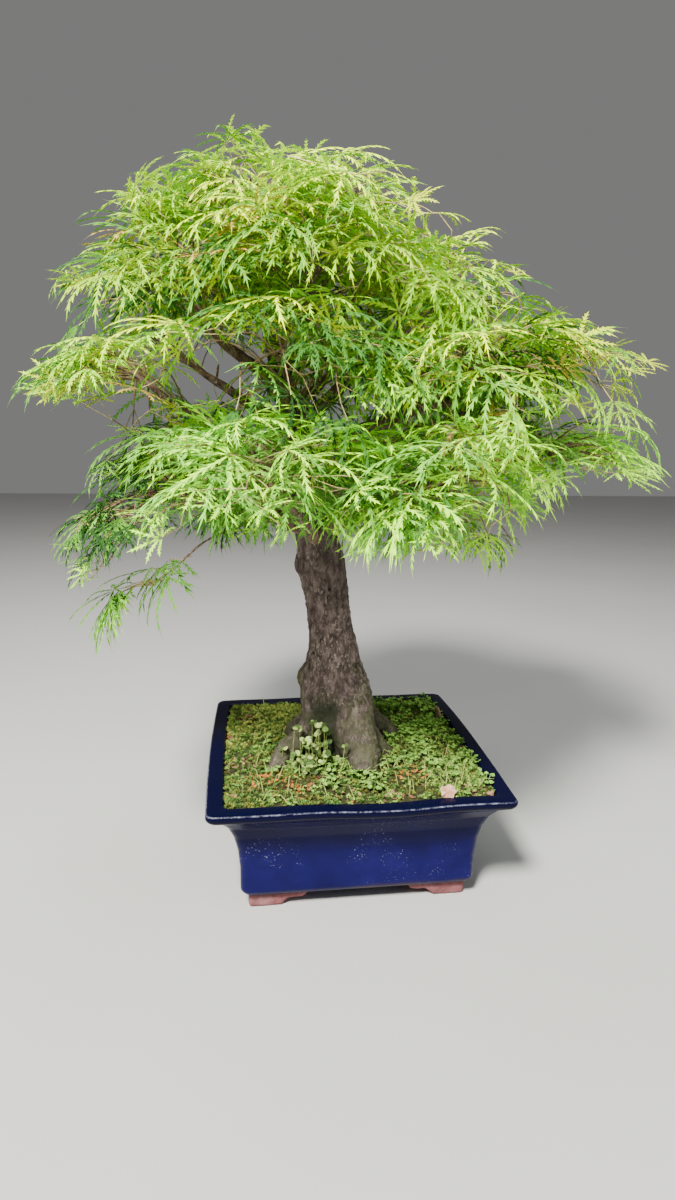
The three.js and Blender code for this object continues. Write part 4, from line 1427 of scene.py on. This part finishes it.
def grow_edge_sprays(name, number, growth):
    """The extra sprays of one mass, each on its own twig from the mass's stem to its place at the edge."""
    chance = random.Random(EDGE_SEED + number)
    mass = mass_of(name)
    stem = stem_of(name)
    for x, z, depth in EDGE_SPRAYS.get(name, []):
        tip = spot(*place_on_sight(x, z, depth))
        root = stem.at(chance.uniform(EDGE_SPRAY_ROOT, 1))
        first = len(growth.leaves)
        grow_twig(growth, chance, raised_line(root, tip, 0.55, 0.18), mass)
        for leaf in growth.leaves[first:]:
            leaf["free"] = True


def grow_twig(growth, chance, line, mass):
    """A twig with leaves in pairs at its nodes, some on side shoots, and young ones at its tip."""
    growth.twigs.append(line)
    spray = len(growth.twigs) - 1
    tip = line.at(1)
    count = max(3, round(line.length * 0.55 / NODE_SPACING))
    for j in range(count):
        share = mix(NODES_FROM, NODES_TO, j / (count - 1))
        place = line.at(share)
        along = line.heading(share)
        across = unit(along.cross(UP))
        first = len(growth.leaves)
        for way in (-1, 1):
            if chance.random() > SHOOT_SHARE:
                add_leaf(growth, chance, place, along * 0.4 + across * way, mass, spray, 0.55 * way)
                continue
            aside = across * (way * chance.uniform(0.5, 1.0))
            shoot = unit(along * 0.9 + aside + UP * chance.uniform(-0.1, 0.4))
            length = chance.uniform(*SHOOT_LENGTH)
            knee = place + shoot * (length * 0.55)
            end = place + shoot * length - UP * (length * chance.uniform(0.15, 0.45))
            growth.shoots.append(([place, knee, end], len(growth.leaves)))
            tilt = unit(end - knee)
            sideways = unit(tilt.cross(UP))
            add_leaf(growth, chance, end, tilt, mass, spray)
            halfway = mix(knee, end, 0.5)
            for hand in (-1, 1):
                add_leaf(growth, chance, halfway, tilt * 0.3 + sideways * hand, mass, spray, 0.6 * hand)
        for leaf in growth.leaves[first:]:
            leaf["share"] = share
    add_leaf(growth, chance, tip, line.heading(1), mass, spray)
    for hand in (-1, 1):
        sideways = unit(line.heading(1).cross(UP)) * hand
        add_leaf(growth, chance, tip, line.heading(1) + sideways, mass, spray, 0.5 * hand, True)


def place_on_sight(x, z, depth):
    """The place at a depth behind the trunk's plane that the camera sees at x and z on that plane."""
    scale = (depth - CAMERA_PLACE.y) / -CAMERA_PLACE.y
    return CAMERA_PLACE.x + (x - CAMERA_PLACE.x) * scale, depth, CAMERA_PLACE.z + (z - CAMERA_PLACE.z) * scale


def seen_on_plane(place):
    """Where the line of sight through a place meets the trunk's plane: across, and up from the ground."""
    eye = HOME + CAMERA_PLACE
    away = place - eye
    met = eye + away * ((HOME.y - eye.y) / away.y) - HOME
    return met.x, met.z


def in_window(x, z):
    """Whether a line of sight goes through one of the crown's openings, each with a ragged edge."""
    ragged = 1 + 0.4 * noise.noise(Vector((x * 40, 0.5, z * 40)))
    return any(math.hypot(x - sky_x, z - sky_z) < radius * ragged for sky_x, sky_z, radius in WINDOWS)


def in_outline(x, z):
    """Whether a line of sight goes through the crown's outline."""
    inside = False
    for (x0, z0), (x1, z1) in zip(OUTLINE, [*OUTLINE[1:], OUTLINE[0]]):
        if (z0 > z) != (z1 > z) and x < x0 + (z - z0) / (z1 - z0) * (x1 - x0):
            inside = not inside
    return inside


def in_box(place):
    """Whether a place lies in the solids' box or only a little proud of it."""
    sides = zip(cad_low, place, cad_high)
    return all(low - LEAF_PROUD < value < high + LEAF_PROUD for low, value, high in sides)


def in_gap(place, name):
    """Whether a place lies in one of the ragged hollows between sprays, which run from front to back."""
    p = place - HOME
    hollow = noise.noise(Vector((p.x, p.y * 0.35, p.z * 1.25)) / GAP_SIZE + Vector((3.1, 0, 0)))
    return hollow < GAP_LEVEL + OPENNESS.get(name, 0)


def limb_places():
    """Places along the trunk and the boughs, and the limb's radius at each."""
    places, radii = [], []
    for k in range(121):
        places.append(TRUNK_CURVE.at(k / 120))
        radii.append(trunk_radius_at_height(places[-1].z) * LIMB_SWELL)
    for bough in BOUGHS.values():
        if bough["curve"]:
            for k in range(41):
                places.append(bough["curve"].at(k / 40))
                radii.append(mix(bough["thickness"], bough["tip_radius"], k / 40))
    return places, radii


def in_its_space(leaf, places):
    """Whether a leaf's seat lies in its own mass and the places on it in any."""
    held = owners([leaf["seat"], *(place + UP * LEAF_SAG for place in places)], LEAF_EDGE)
    return held[0] == leaf["mass"] and (held >= 0).all()


def fits(leaf, clear_of_limbs):
    """Whether a leaf keeps to its mass, the box and the outline, and clear of openings and limbs."""
    name = SPACE_NAMES[leaf["mass"]]
    seat, ahead, top, size = (leaf[key] for key in ("seat", "ahead", "top", "size"))
    hang = top * (size * EDGE_DROOP)
    places = [seat + ahead * (size * TIP_OUT) + hang]
    for way in (-1, 1):
        breadth = leaf["side"] * (way * FORM_BREADTHS[leaf["form"]])
        places.append(seat + (ahead * SIDES_OUT + breadth) * size + hang)
    if not leaf["free"] and name not in HANGING and min(place.z for place in places) < LOWEST_TIP:
        return False
    arch = seat + ahead * (size * SIDES_OUT) + top * (size * ARCH_UP)
    if not all(in_box(place) for place in (arch, *places)):
        return False
    if name not in HANGING and not all(in_outline(*seen_on_plane(place)) for place in (arch, *places)):
        return False
    if not leaf["free"] and not in_its_space(leaf, places):
        return False
    blade = seat + ahead * (size * BLADE_OUT) + hang * 0.4
    if any(in_window(*seen_on_plane(place)) for place in (seat, blade, *places)):
        return False
    return all(clear_of_limbs(place) for place in (seat, *places))


def fitting_leaves(growth):
    """The leaves that fit, some after a smaller try, without those that start in a hollow between sprays."""
    limb_points, limb_radii = limb_places()
    tree = kdtree.KDTree(len(limb_points))
    for k, p in enumerate(limb_points):
        tree.insert(p, k)
    tree.balance()
    widest = max(limb_radii) + LIMB_CLEARANCE

    def clear_of_limbs(place):
        near = tree.find_range(place, widest)
        return all(distance > limb_radii[k] + LIMB_CLEARANCE for _, k, distance in near)

    kept = []
    for leaf in growth.leaves:
        middle = leaf["seat"] + leaf["ahead"] * (leaf["size"] * 0.5)
        if not leaf["free"] and in_gap(middle, SPACE_NAMES[leaf["mass"]]):
            continue
        for size in (leaf["size"], leaf["size"] * LEAF_RETRY):
            leaf["size"] = size
            if fits(leaf, clear_of_limbs):
                kept.append(leaf)
                break
    return kept


def lines_piece(name, runs, material, sides, limbs):
    """Many thin limbs as one piece; each run is its points and its first and last radius."""
    points, edges, thickness = [], [], []
    for line, (first, last) in runs:
        base = len(points)
        points.extend(line)
        edges.extend((base + k, base + k + 1) for k in range(len(line) - 1))
        thickness.extend(mix(first, last, k / (len(line) - 1)) for k in range(len(line)))
    mesh = bare_mesh(name, points, edges, [])
    keep_values(mesh, "thickness", thickness)
    return limbs.apply(in_scene(name, mesh), Sides=sides, Material=material)


def leaves_piece(name, leaves, forms, material, sprays):
    """All leaves of one tint as one piece."""
    mesh = bare_mesh(name, [leaf["seat"] for leaf in leaves], [], [])
    turns = []
    for leaf in leaves:
        turns.extend(Matrix((leaf["side"], leaf["ahead"], leaf["top"])).transposed().to_euler())
    keep_values(mesh, "turn", turns, "FLOAT_VECTOR", "vector")
    keep_values(mesh, "size", [leaf["size"] for leaf in leaves])
    keep_values(mesh, "form", [leaf["form"] for leaf in leaves], "INT")
    settings = {f"Form {k}": form for k, form in enumerate(forms)}
    return sprays.apply(in_scene(name, mesh), Material=material, **settings)


# Tints of the leaves: six steps of painted light and shade, from the sunny top of the crown to its shaded
# skirt, then four special ones
TINTS = {
    "leaves_pale": (0.70, 0.92, 0.006),
    "leaves_lime": (0.35, 0.62, 0.010),
    "leaves_spring": (0.20, 0.44, 0.014),
    "leaves_green": (0.105, 0.29, 0.026),
    "leaves_deep": (0.046, 0.155, 0.022),
    "leaves_shade": (0.017, 0.060, 0.011),
    "leaves_mint": (0.46, 0.88, 0.030),
    "leaves_fresh": (0.20, 0.50, 0.050),
    "leaves_young": (0.55, 0.66, 0.006),
    "leaves_bronze": (0.50, 0.34, 0.070),
}
PAINTED_LIGHT_STEPS = list(TINTS)[:6]
# Below this share of the crown's height the three lightest steps and the young leaves take two cooler lit
# copies, and the hanging spray takes them too: painted light with a painted blue cast from the surroundings
MINT_BELOW = 0.45
BRONZE_SHARE = 0.12
BRONZE_ABOVE = 0.45

# A leaf's draw from 0 to 1 makes it a step lighter or darker than its spray, or picks its tint where it hangs
LIGHTER_BELOW = 0.22
DARKER_ABOVE = 0.80
HANGING_MINT = 0.25
HANGING_FRESH = 0.6

# Painted shade of a spray in steps: at the foot of the crown, and less of it up the crown, up its mass and
# outwards
SHADE_AT_FOOT = 3.45
SHADE_UP_CROWN = 2.8
SHADE_UP_MASS = 1.4
SHADE_OUTWARDS = 1.2
SHADE_SPREAD = 1.05

# Steps by which an edge spray is painted lighter, and a whole mass painted darker than its place would make
# it
FREE_LIGHTER = 0.5
MASS_SHADE = {
    "upper_left": 1.0, "apex_left": 0.4, "apex_right": 0.3, "upper_front": 0.5, "middle_left": 0.8,
    "middle_right": 0.4, "right_shoulder": 0.1, "low_left": 1.8, "front_low_left": -0.4,
    "front_low_right": -0.8, "low_right": -0.4, "right_mid": -0.2,
}


def painted_light_step(leaf, chance, height):
    """Painted light and shade: lighter and yellower up the crown and at the tips of its tiers, deeper inside
    and below.
    """
    name = SPACE_NAMES[leaf["mass"]]
    row = MASSES[name]
    inner = leaf["seat"] - spot(*row[:3])
    depth = math.sqrt((inner.x / row[3]) ** 2 + (inner.y / row[4]) ** 2 + (inner.z / row[5]) ** 2)
    above = inner.z / row[5]
    shade = SHADE_AT_FOOT - SHADE_UP_CROWN * height - SHADE_UP_MASS * above - SHADE_OUTWARDS * (depth - 0.6)
    shade += MASS_SHADE.get(name, 0) - (FREE_LIGHTER if leaf["free"] else 0)
    return min(max(round(shade + chance.gauss(0, SHADE_SPREAD)), 0), len(PAINTED_LIGHT_STEPS) - 1)


def tint_of(leaf, bronze, step, height):
    """One leaf's tint, near the step of its spray; height is 0 at the lowest leaf and 1 at the highest."""
    wander = random.Random(leaf["number"]).random()
    low_down = height + 0.3 * (wander - 0.5) < MINT_BELOW
    if leaf["form"] == YOUNG_FORM:
        return "leaves_mint" if low_down else "leaves_bronze" if bronze else "leaves_young"
    if bronze and wander < BRONZE_SHARE:
        return "leaves_bronze"
    if SPACE_NAMES[leaf["mass"]] in HANGING:
        if wander < HANGING_MINT:
            return "leaves_mint"
        return "leaves_fresh" if wander < HANGING_FRESH else "leaves_green"
    if wander < LIGHTER_BELOW:
        step = max(step - 1, 0)
    elif wander > DARKER_ABOVE:
        step = min(step + 1, len(PAINTED_LIGHT_STEPS) - 1)
    # Painted light with a painted blue cast: the lighter steps low in the crown
    if low_down and step <= 2:
        return "leaves_fresh" if step == 2 else "leaves_mint"
    return PAINTED_LIGHT_STEPS[step]


def sorted_by_tint(leaves):
    """The leaves under the names of their tints, with one step of tint to a spray."""
    low = min(leaf["seat"].z for leaf in leaves)
    high = max(leaf["seat"].z for leaf in leaves)
    sprays = {}
    tints = {name: [] for name in TINTS}
    for leaf in leaves:
        height = (leaf["seat"].z - low) / (high - low)
        key = (leaf["mass"], leaf["spray"])
        if key not in sprays:
            chance = random.Random(leaf["mass"] * 1000 + leaf["spray"])
            bronze = chance.random() < BRONZE_SHARE and leaf["seat"].z > mix(low, high, BRONZE_ABOVE)
            sprays[key] = (bronze, painted_light_step(leaf, chance, height))
        tints[tint_of(leaf, *sprays[key], height)].append(leaf)
    return tints


def grow_crown():
    """Twigs, shoots and leaves of every mass, each leaf with the number of its mass and its own."""
    growth = Growth()
    for number, name in enumerate(SPACE_NAMES):
        first = len(growth.leaves)
        grow_mass(name, number, growth)
        grow_edge_sprays(name, number, growth)
        if name not in HANGING:
            crown_stem(name, number, growth)
        for leaf in growth.leaves[first:]:
            leaf["mass"] = number
    for number, leaf in enumerate(growth.leaves):
        leaf["number"] = number
    return growth


def leafy_lines(growth, leaves):
    """The twigs, each as far as its last leaf, the shoots that bear leaves, and the stalks."""
    reached = {}
    for leaf in leaves:
        reached[leaf["spray"]] = max(leaf["share"], reached.get(leaf["spray"], 0))
    twigs = [
        ([line.at(reached[number] * k / TWIG_STEPS) for k in range(TWIG_STEPS + 1)], TWIG_RADII)
        for number, line in enumerate(growth.twigs)
        if number in reached
    ]
    present = {leaf["number"] for leaf in leaves}
    shoots = [
        (line, SHOOT_RADII) for line, first in growth.shoots if present & {first, first + 1, first + 2}
    ]
    stalks = [(leaf["petiole"], (PETIOLE_RADIUS, PETIOLE_RADIUS * 0.8)) for leaf in leaves]
    return twigs, shoots, stalks


def make_crown(twig_wood, shoot_skin, petiole_skin):
    """All that the masses hold: twigs, green shoots, leaf stalks, and the leaves by their tints."""
    growth = grow_crown()
    kept = fitting_leaves(growth)
    nodes = [f"foliage_{name}" for name in SPACE_NAMES]
    limbs = limb_tree()
    twigs, shoots, stalks = leafy_lines(growth, kept)
    dress(lines_piece("twig_wood", twigs, twig_wood, 4, limbs), nodes)
    dress(lines_piece("green_shoots", shoots, shoot_skin, 3, limbs), nodes)
    dress(lines_piece("leaf_stalks", stalks, petiole_skin, 3, limbs), nodes)
    forms = [
        leaf_form("leaf_star", 0.55, 1.0),
        leaf_form("leaf_arched", 0.65, 0.74),
        leaf_form("leaf_hanging", 0.60, 0.42),
        leaf_form("leaf_young", 0.25, 0.9, tooth_reach=0.085, rib_half=0.030),
    ]
    sprays = spray_tree()
    for name, leaves in sorted_by_tint(kept).items():
        if leaves:
            dress(leaves_piece(name, leaves, forms, leaf_finish(name, TINTS[name]), sprays), nodes)
    for form in forms:
        bpy.data.objects.remove(form)


# Planting
def patchy(x, y, scale, layer):
    """Uneven patches over the ground, from about -1 to 1."""
    return noise.fractal(Vector((x * scale, y * scale, layer)), 1.0, 2.0, 3)


def ground_level(x, y):
    """Height of the moss: a level top round the trunk that falls away to the rim, with hummocks."""
    fall = smooth(PLATEAU_HALF * 0.85, MOSS_EDGE_HALF, max(abs(x), abs(y)))
    hummocks = 0.0032 * patchy(x, y, 38, 1.7) * (1 - 0.5 * fall)
    return mix(MOSS_CROWN, MOSS_MARGIN, fall) + hummocks


def make_moss_ground(material):
    """The ground as a dome of loops with a skirt, and how thickly each cover grows at each point."""
    loops = []
    steps = 44
    for k in range(steps + 1):
        share = (1 - k / steps) * 0.985 + 0.015
        half = MOSS_EDGE_HALF * share
        corner = mix(half * 0.98, POT_CORNER, share**4)
        loop = square_loop(half, corner, SIDE_BOW * share, 0, side_steps=22, corner_steps=10)
        loops.append([Vector((p.x, p.y, ground_level(p.x - HOME.x, p.y - HOME.y))) for p in loop])
    skirt = [Vector((p.x, p.y, MOSS_EDGE - 0.012)) for p in loops[0]]
    ground = mesh_piece("moss_ground", *lofted([skirt, *loops]), material)
    rows = {"green": [], "gold": [], "behind": [], "pale": [], "weeds": [], "orange": [], "brown": []}
    for vertex in ground.data.vertices:
        p = vertex.co - HOME
        top = 1.0 if p.z > MOSS_EDGE - 0.006 else 0.0
        patch = patchy(p.x, p.y, 30, 4.0)
        other = patchy(p.x, p.y, 24, 9.0)
        bright = smooth(-0.05, 0.06, p.x - 0.55 * (p.y + 0.10))
        # Painted light: at the back left the ground takes a far lighter moss, set against the crown's shadow
        # that falls there
        behind = smooth(-0.03, 0.05, p.y) * smooth(0.0, -0.02, p.x)
        by_trunk = 1 - smooth(0.04, 0.08, math.hypot(p.x + 0.02, p.y + 0.06))
        to_right = smooth(0.02, 0.08, p.x) * smooth(-0.15, -0.05, p.y)
        heap = {"orange": 0.0, "brown": 0.0}
        for x, y, radius, kind in LITTER:
            heap[kind] += math.exp(-((p.x - x) ** 2 + (p.y - y) ** 2) / radius**2)
        bare = top * (1 - 0.8 * min(heap["orange"] + heap["brown"], 1))
        rows["green"].append(bare * smooth(-0.45, 0.05, patch) * mix(1, 0.7, bright))
        rows["gold"].append(bare * smooth(-0.25, 0.25, other) * mix(1, 0.3, bright) * (1 - 0.8 * behind))
        rows["behind"].append(bare * behind)
        rows["pale"].append(bare * smooth(-0.35, 0.25, -other) * mix(0.12, 1, bright))
        rows["weeds"].append(bare * min(1, 0.08 + by_trunk + to_right))
        rows["orange"].append(top * (0.01 + heap["orange"]))
        rows["brown"].append(top * (0.05 + heap["brown"]))
    for name, values in rows.items():
        keep_values(ground.data, name, values)
    return ground


def tuft_form():
    """A cushion of moss: pointed leaflets that spread from one foot."""
    points, faces = [], []
    blades = 8
    for k in range(blades):
        angle = 2 * math.pi * k / blades + 0.2 * (k % 2)
        rise = 0.0022 if k % 2 else 0.0034
        out = 0.0026 if k % 2 else 0.0013
        ahead = Vector((math.cos(angle), math.sin(angle), 0))
        across = Vector((-ahead.y, ahead.x, 0))
        base = len(points)
        points += [
            across * -0.0005,
            across * 0.0005,
            ahead * (out * 0.55) + across * 0.0007 + UP * (rise * 0.65),
            ahead * out + UP * rise,
            ahead * (out * 0.55) - across * 0.0007 + UP * (rise * 0.65),
        ]
        faces.append((base, base + 1, base + 2, base + 4))
        faces.append((base + 4, base + 2, base + 3))
    return small_form("moss_tuft", points, faces)


def round_leaf(points, faces, seat, ahead, radius, top, sides=7):
    """Adds a round, slightly cupped leaf whose edge starts at its seat."""
    across = top.cross(ahead)
    middle = seat + ahead * (radius * 0.8)
    rim = len(points)
    for i in range(sides):
        a = 2 * math.pi * i / sides
        level = middle + ahead * (radius * math.cos(a)) + across * (radius * math.sin(a))
        points.append(level + top * (radius * 0.22 * math.cos(a * 2)))
    points.append(middle - top * (radius * 0.18))
    for i in range(sides):
        faces.append((rim + i, rim + (i + 1) % sides, rim + sides))


def weed_form():
    """A small weed: round leaves on short stalks round one root."""
    points, faces = [], []
    for k in range(5):
        ahead = compass(k * 137.5)
        across = UP.cross(ahead)
        seat = ahead * (0.0028 + 0.0010 * (k % 3)) + UP * (0.0030 + 0.0016 * ((k + 1) % 3))
        base = len(points)
        points += [across * -0.0002, across * 0.0002, seat + across * 0.0002, seat - across * 0.0002]
        faces.append((base, base + 1, base + 2, base + 3))
        round_leaf(points, faces, seat, ahead, 0.0019 + 0.0004 * (k % 2), UP, 6)
    return small_form("round_weed", points, faces)


def cushion_form():
    """A cushion plant: short stems crowded with small blunt leaves."""
    points, faces = [], []
    for k in range(7):
        ahead = compass(k * 137.5)
        tilt = unit(UP + ahead * (0.5 + 0.5 * (k % 2)))
        seat = ahead * (0.0006 * k**0.5) + UP * (0.0030 - 0.0003 * k)
        round_leaf(points, faces, seat, unit(ahead - tilt * ahead.dot(tilt)), 0.0011, tilt, 4)
    return small_form("cushion", points, faces)


def litter_form():
    """A curled flake of dead leaf."""
    points, faces = [], []
    for k in range(5):
        share = k / 4
        width = 0.0021 * math.sin(math.pi * (0.12 + 0.8 * share))
        lift = 0.0012 + 0.0018 * (share - 0.5) ** 2 * 4
        points += [Vector((-width, mix(-0.004, 0.004, share), lift)),
                   Vector((width, mix(-0.004, 0.004, share), lift + 0.0006))]
    for k in range(4):
        faces.append((2 * k, 2 * k + 1, 2 * k + 3, 2 * k + 2))
    return small_form("leaf_litter", points, faces)


# Covers of the ground: name, form, row of growth, number to a square metre, seed, least and most size, tones
COVERS = [
    ("moss_gold", tuft_form, "gold", 56000, 3, 0.5, 1.4, (0.044, 0.052, 0.007), (0.30, 0.33, 0.056)),
    # The lighter moss at the back left is painted light, set against the crown's shadow
    ("moss_bright", tuft_form, "behind", 56000, 4, 0.5, 1.4, (0.16, 0.20, 0.030), (0.58, 0.64, 0.14)),
    ("moss_green", tuft_form, "green", 62000, 5, 0.5, 1.4, (0.034, 0.076, 0.014), (0.180, 0.33, 0.060)),
    ("moss_pale", cushion_form, "pale", 42000, 6, 0.5, 1.4, (0.058, 0.140, 0.015), (0.40, 0.55, 0.10)),
    ("round_weeds", weed_form, "weeds", 9000, 7, 0.5, 1.5, (0.052, 0.145, 0.014), (0.28, 0.50, 0.085)),
    ("orange_litter", litter_form, "orange", 42000, 8, 0.4, 1.0, (0.20, 0.055, 0.010), (0.54, 0.21, 0.045)),
    ("brown_litter", litter_form, "brown", 28000, 9, 0.4, 1.1, (0.07, 0.030, 0.014), (0.36, 0.20, 0.11)),
]


def make_planting():
    """The ground, and over it every cover as a piece of its own."""
    ground = make_moss_ground(soil_finish())
    carpet = carpet_tree()
    for name, form_of, growth, density, seed, smallest, largest, dark, light in COVERS:
        form = form_of()
        cover = carpet.apply(
            in_scene(name, ground.data.copy()), Form=form, Density=float(density), Seed=seed, Growth=growth,
            Smallest=smallest, Largest=largest, Material=grain_finish(name, dark, light, 150, 0.9),
        )
        bpy.data.objects.remove(form)
        dress(cover)
    dress(ground, ["moss_bed"])


def make_tall_weeds():
    """Pale round-leaved weeds on thin stalks, and a few blades of grass, by the trunk and at the rim."""
    chance = random.Random(WEED_SEED)
    runs, blades = [], []
    kinds = [([], []), ([], []), ([], [])]
    for _ in range(TALL_WEEDS):
        angle = chance.uniform(0, 360)
        foot_x = -0.046 + chance.gauss(0, 0.012)
        foot_y = -0.072 + chance.gauss(0, 0.010)
        foot = spot(foot_x, foot_y, ground_level(foot_x, foot_y))
        height = mix(0.004, 0.050, chance.random() ** 1.6)
        lean = compass(angle) * (height * chance.uniform(0.0, 0.2))
        tip = foot + UP * height + lean
        runs.append(([foot, foot + UP * (height * 0.6) + lean * 0.3, tip], (0.00035, 0.0003)))
        for k in range(chance.choice((2, 2, 3, 3))):
            ahead = compass(angle + 140 * k + chance.uniform(-30, 30))
            top = unit(UP + Vector((chance.gauss(0, 0.3), -0.6 + chance.gauss(0, 0.3), 0)))
            ahead = unit(ahead - top * ahead.dot(top))
            points, faces = chance.choice(kinds)
            round_leaf(points, faces, tip, ahead, chance.uniform(0.0018, 0.0036), top, 9)
    # A pale, a green and a deep copy of one weed colour, dealt at random: the pale one is the weeds' own
    # colour, the green and deep ones are painted shade
    skins = [("tall_weed_pale", (0.24, 0.34, 0.070), (0.46, 0.56, 0.19)),
             ("tall_weed_green", (0.060, 0.130, 0.018), (0.20, 0.32, 0.055)),
             ("tall_weed_deep", (0.022, 0.050, 0.010), (0.075, 0.135, 0.026))]
    for (points, faces), (name, dark, light) in zip(kinds, skins):
        dress(mesh_piece(name, points, faces, grain_finish(name, dark, light, 90, 0.7)))
    for _ in range(GRASS_BLADES):
        foot_x = chance.uniform(-0.132, 0.132)
        foot_y = chance.choice((chance.uniform(-0.135, -0.05), chance.uniform(-0.135, 0.12)))
        foot = spot(foot_x, foot_y, ground_level(foot_x, foot_y))
        lean = compass(chance.uniform(0, 360)) * chance.uniform(0.006, 0.018)
        height = chance.uniform(0.007, 0.018)
        tip = foot + UP * height * 0.9 + lean
        blades.append(([foot, foot + UP * height + lean * 0.4, tip], (0.0006, 0.0002)))
    blade_finish = grain_finish("grass_blades", (0.17, 0.25, 0.036), (0.42, 0.48, 0.15), 120, 0.8)
    dress(lines_piece("tall_weed_stalks", [*runs, *blades], blade_finish, 3, limb_tree()))


def make_fallen_leaf():
    """One dry crumpled leaf, pinkish tan, that leans on the front rim."""
    points, faces = [Vector((0, 0, 0.0012))], []
    sides = 14
    for i in range(sides):
        a = 2 * math.pi * i / sides
        radius = 0.0082 * (1 + 0.16 * math.cos(5 * a) + 0.06 * math.sin(3 * a))
        crumple = 0.0016 * math.sin(2.5 * a) + 0.0009 * math.cos(7 * a)
        points.append(Vector((radius * math.cos(a), radius * 0.92 * math.sin(a), crumple)))
        faces.append((0, i + 1, (i + 1) % sides + 1))
    turn = Matrix.Rotation(math.radians(58), 4, "X")
    place = Matrix.Translation(spot(0.087, -0.1435, POT_HEIGHT + 0.0058))
    dry = grain_finish("dry_leaf", (0.40, 0.18, 0.11), (0.66, 0.41, 0.28), 200, 0.8)
    dress(mesh_piece("fallen_leaf", [place @ turn @ p for p in points], faces, dry, False))


def make_stub():
    """The stub of a dead shoot that stands in the moss at the back right."""
    foot = spot(0.136, 0.077, MOSS_EDGE - 0.004)
    line = through([foot, foot + Vector((0.001, 0, 0.010)), foot + Vector((-0.001, 0.002, 0.021))])

    def girth(share, angle):
        return 0.0042 * (1 - 0.25 * share) * (1 + 0.12 * math.cos(3 * angle))

    wood = grain_finish("dead_wood", (0.20, 0.09, 0.06), (0.46, 0.27, 0.20), 260)
    stub = mesh_piece("dead_stub", *lofted(limb_loops(line, girth, sides=14, rings=12)), wood)
    weather(stub, lambda p: 0.0004 * noise.noise(p * 500))
    dress(stub)


# Floor, light and camera
def make_stage():
    """A pale floor, a dim room, and three lamps: name, place, size in metres, power in watts and colour."""
    paint = Finish("pale_floor", roughness=0.7, specular=0.2)
    dull, light = (0.46, 0.46, 0.455), (0.48, 0.48, 0.475)
    paint.body = paint.ramp(paint.noise(3, detail=2), [(0.3, dull), (0.7, light)])
    half = 6.0
    points = [(-half, -half, 0), (half, -half, 0), (half, half, 0), (-half, half, 0)]
    floor = mesh_piece("floor", points, [(0, 1, 2, 3)], paint.done(), False)
    world = bpy.data.worlds.new("studio")
    bpy.context.scene.world = world
    world.use_nodes = True
    world.node_tree.nodes["Background"].inputs["Color"].default_value = (1.0, 0.99, 0.98, 1)
    world.node_tree.nodes["Background"].inputs["Strength"].default_value = 0.20
    lamps = [
        ("key_light", (-0.8, -1.4, 2.1), 0.5, 220, (1.0, 0.98, 0.90)),
        ("fill_light", (1.5, -1.1, 1.2), 1.2, 9, (0.95, 0.98, 1.0)),
        ("back_light", (0.2, 0.9, 2.3), 1.2, 26, (1.0, 1.0, 1.0)),
    ]
    for name, place, size, power, color in lamps:
        lamp = bpy.data.lights.new(name, "AREA")
        lamp.shape = "DISK"
        lamp.size = size
        lamp.energy = power
        lamp.color = color
        light = in_scene(name, lamp)
        light.location = HOME + Vector(place)
        light.rotation_euler = (spot(0, 0, 0.4) - light.location).to_track_quat("-Z", "Y").to_euler()


def make_camera():
    """The camera that stands where the photo was taken."""
    turn, dip, roll = (math.radians(a) for a in (CAMERA_TURN, CAMERA_DIP, CAMERA_ROLL))
    ahead = Vector((math.sin(turn) * math.cos(dip), math.cos(turn) * math.cos(dip), -math.sin(dip)))
    level = Vector((math.cos(turn), -math.sin(turn), 0))
    upright = level.cross(ahead)
    right = level * math.cos(roll) + upright * math.sin(roll)
    top = upright * math.cos(roll) - level * math.sin(roll)
    lens = bpy.data.cameras.new("camera")
    lens.sensor_width = 36
    lens.sensor_fit = "AUTO"
    lens.lens = CAMERA_LENS
    camera = in_scene("camera", lens)
    facing = Matrix((right, top, -ahead)).transposed().to_4x4()
    camera.matrix_world = Matrix.Translation(HOME + CAMERA_PLACE) @ facing
    bpy.context.scene.camera = camera


BOUGHS = lay_boughs()
bark = bark_finish("trunk_bark", (0.021, 0.015, 0.013), (0.108, 0.075, 0.070), (0.310, 0.228, 0.214), True)
limb_bark = bark_finish("bough_bark", (0.040, 0.023, 0.015), (0.120, 0.073, 0.050), (0.24, 0.16, 0.115))
make_stage()
make_camera()
make_pot(glaze_finish())
make_feet(clay_finish())
make_planting()
make_tall_weeds()
make_fallen_leaf()
make_stub()
make_trunk(bark)
make_boughs(limb_bark)
make_crown(
    grain_finish("twig_bark", (0.115, 0.070, 0.040), (0.26, 0.17, 0.090), 260, 0.75),
    grain_finish("shoot_skin", (0.24, 0.20, 0.070), (0.44, 0.34, 0.13), 300, 0.6),
    grain_finish("stalk_skin", (0.44, 0.30, 0.14), (0.60, 0.50, 0.22), 300, 0.6),
)
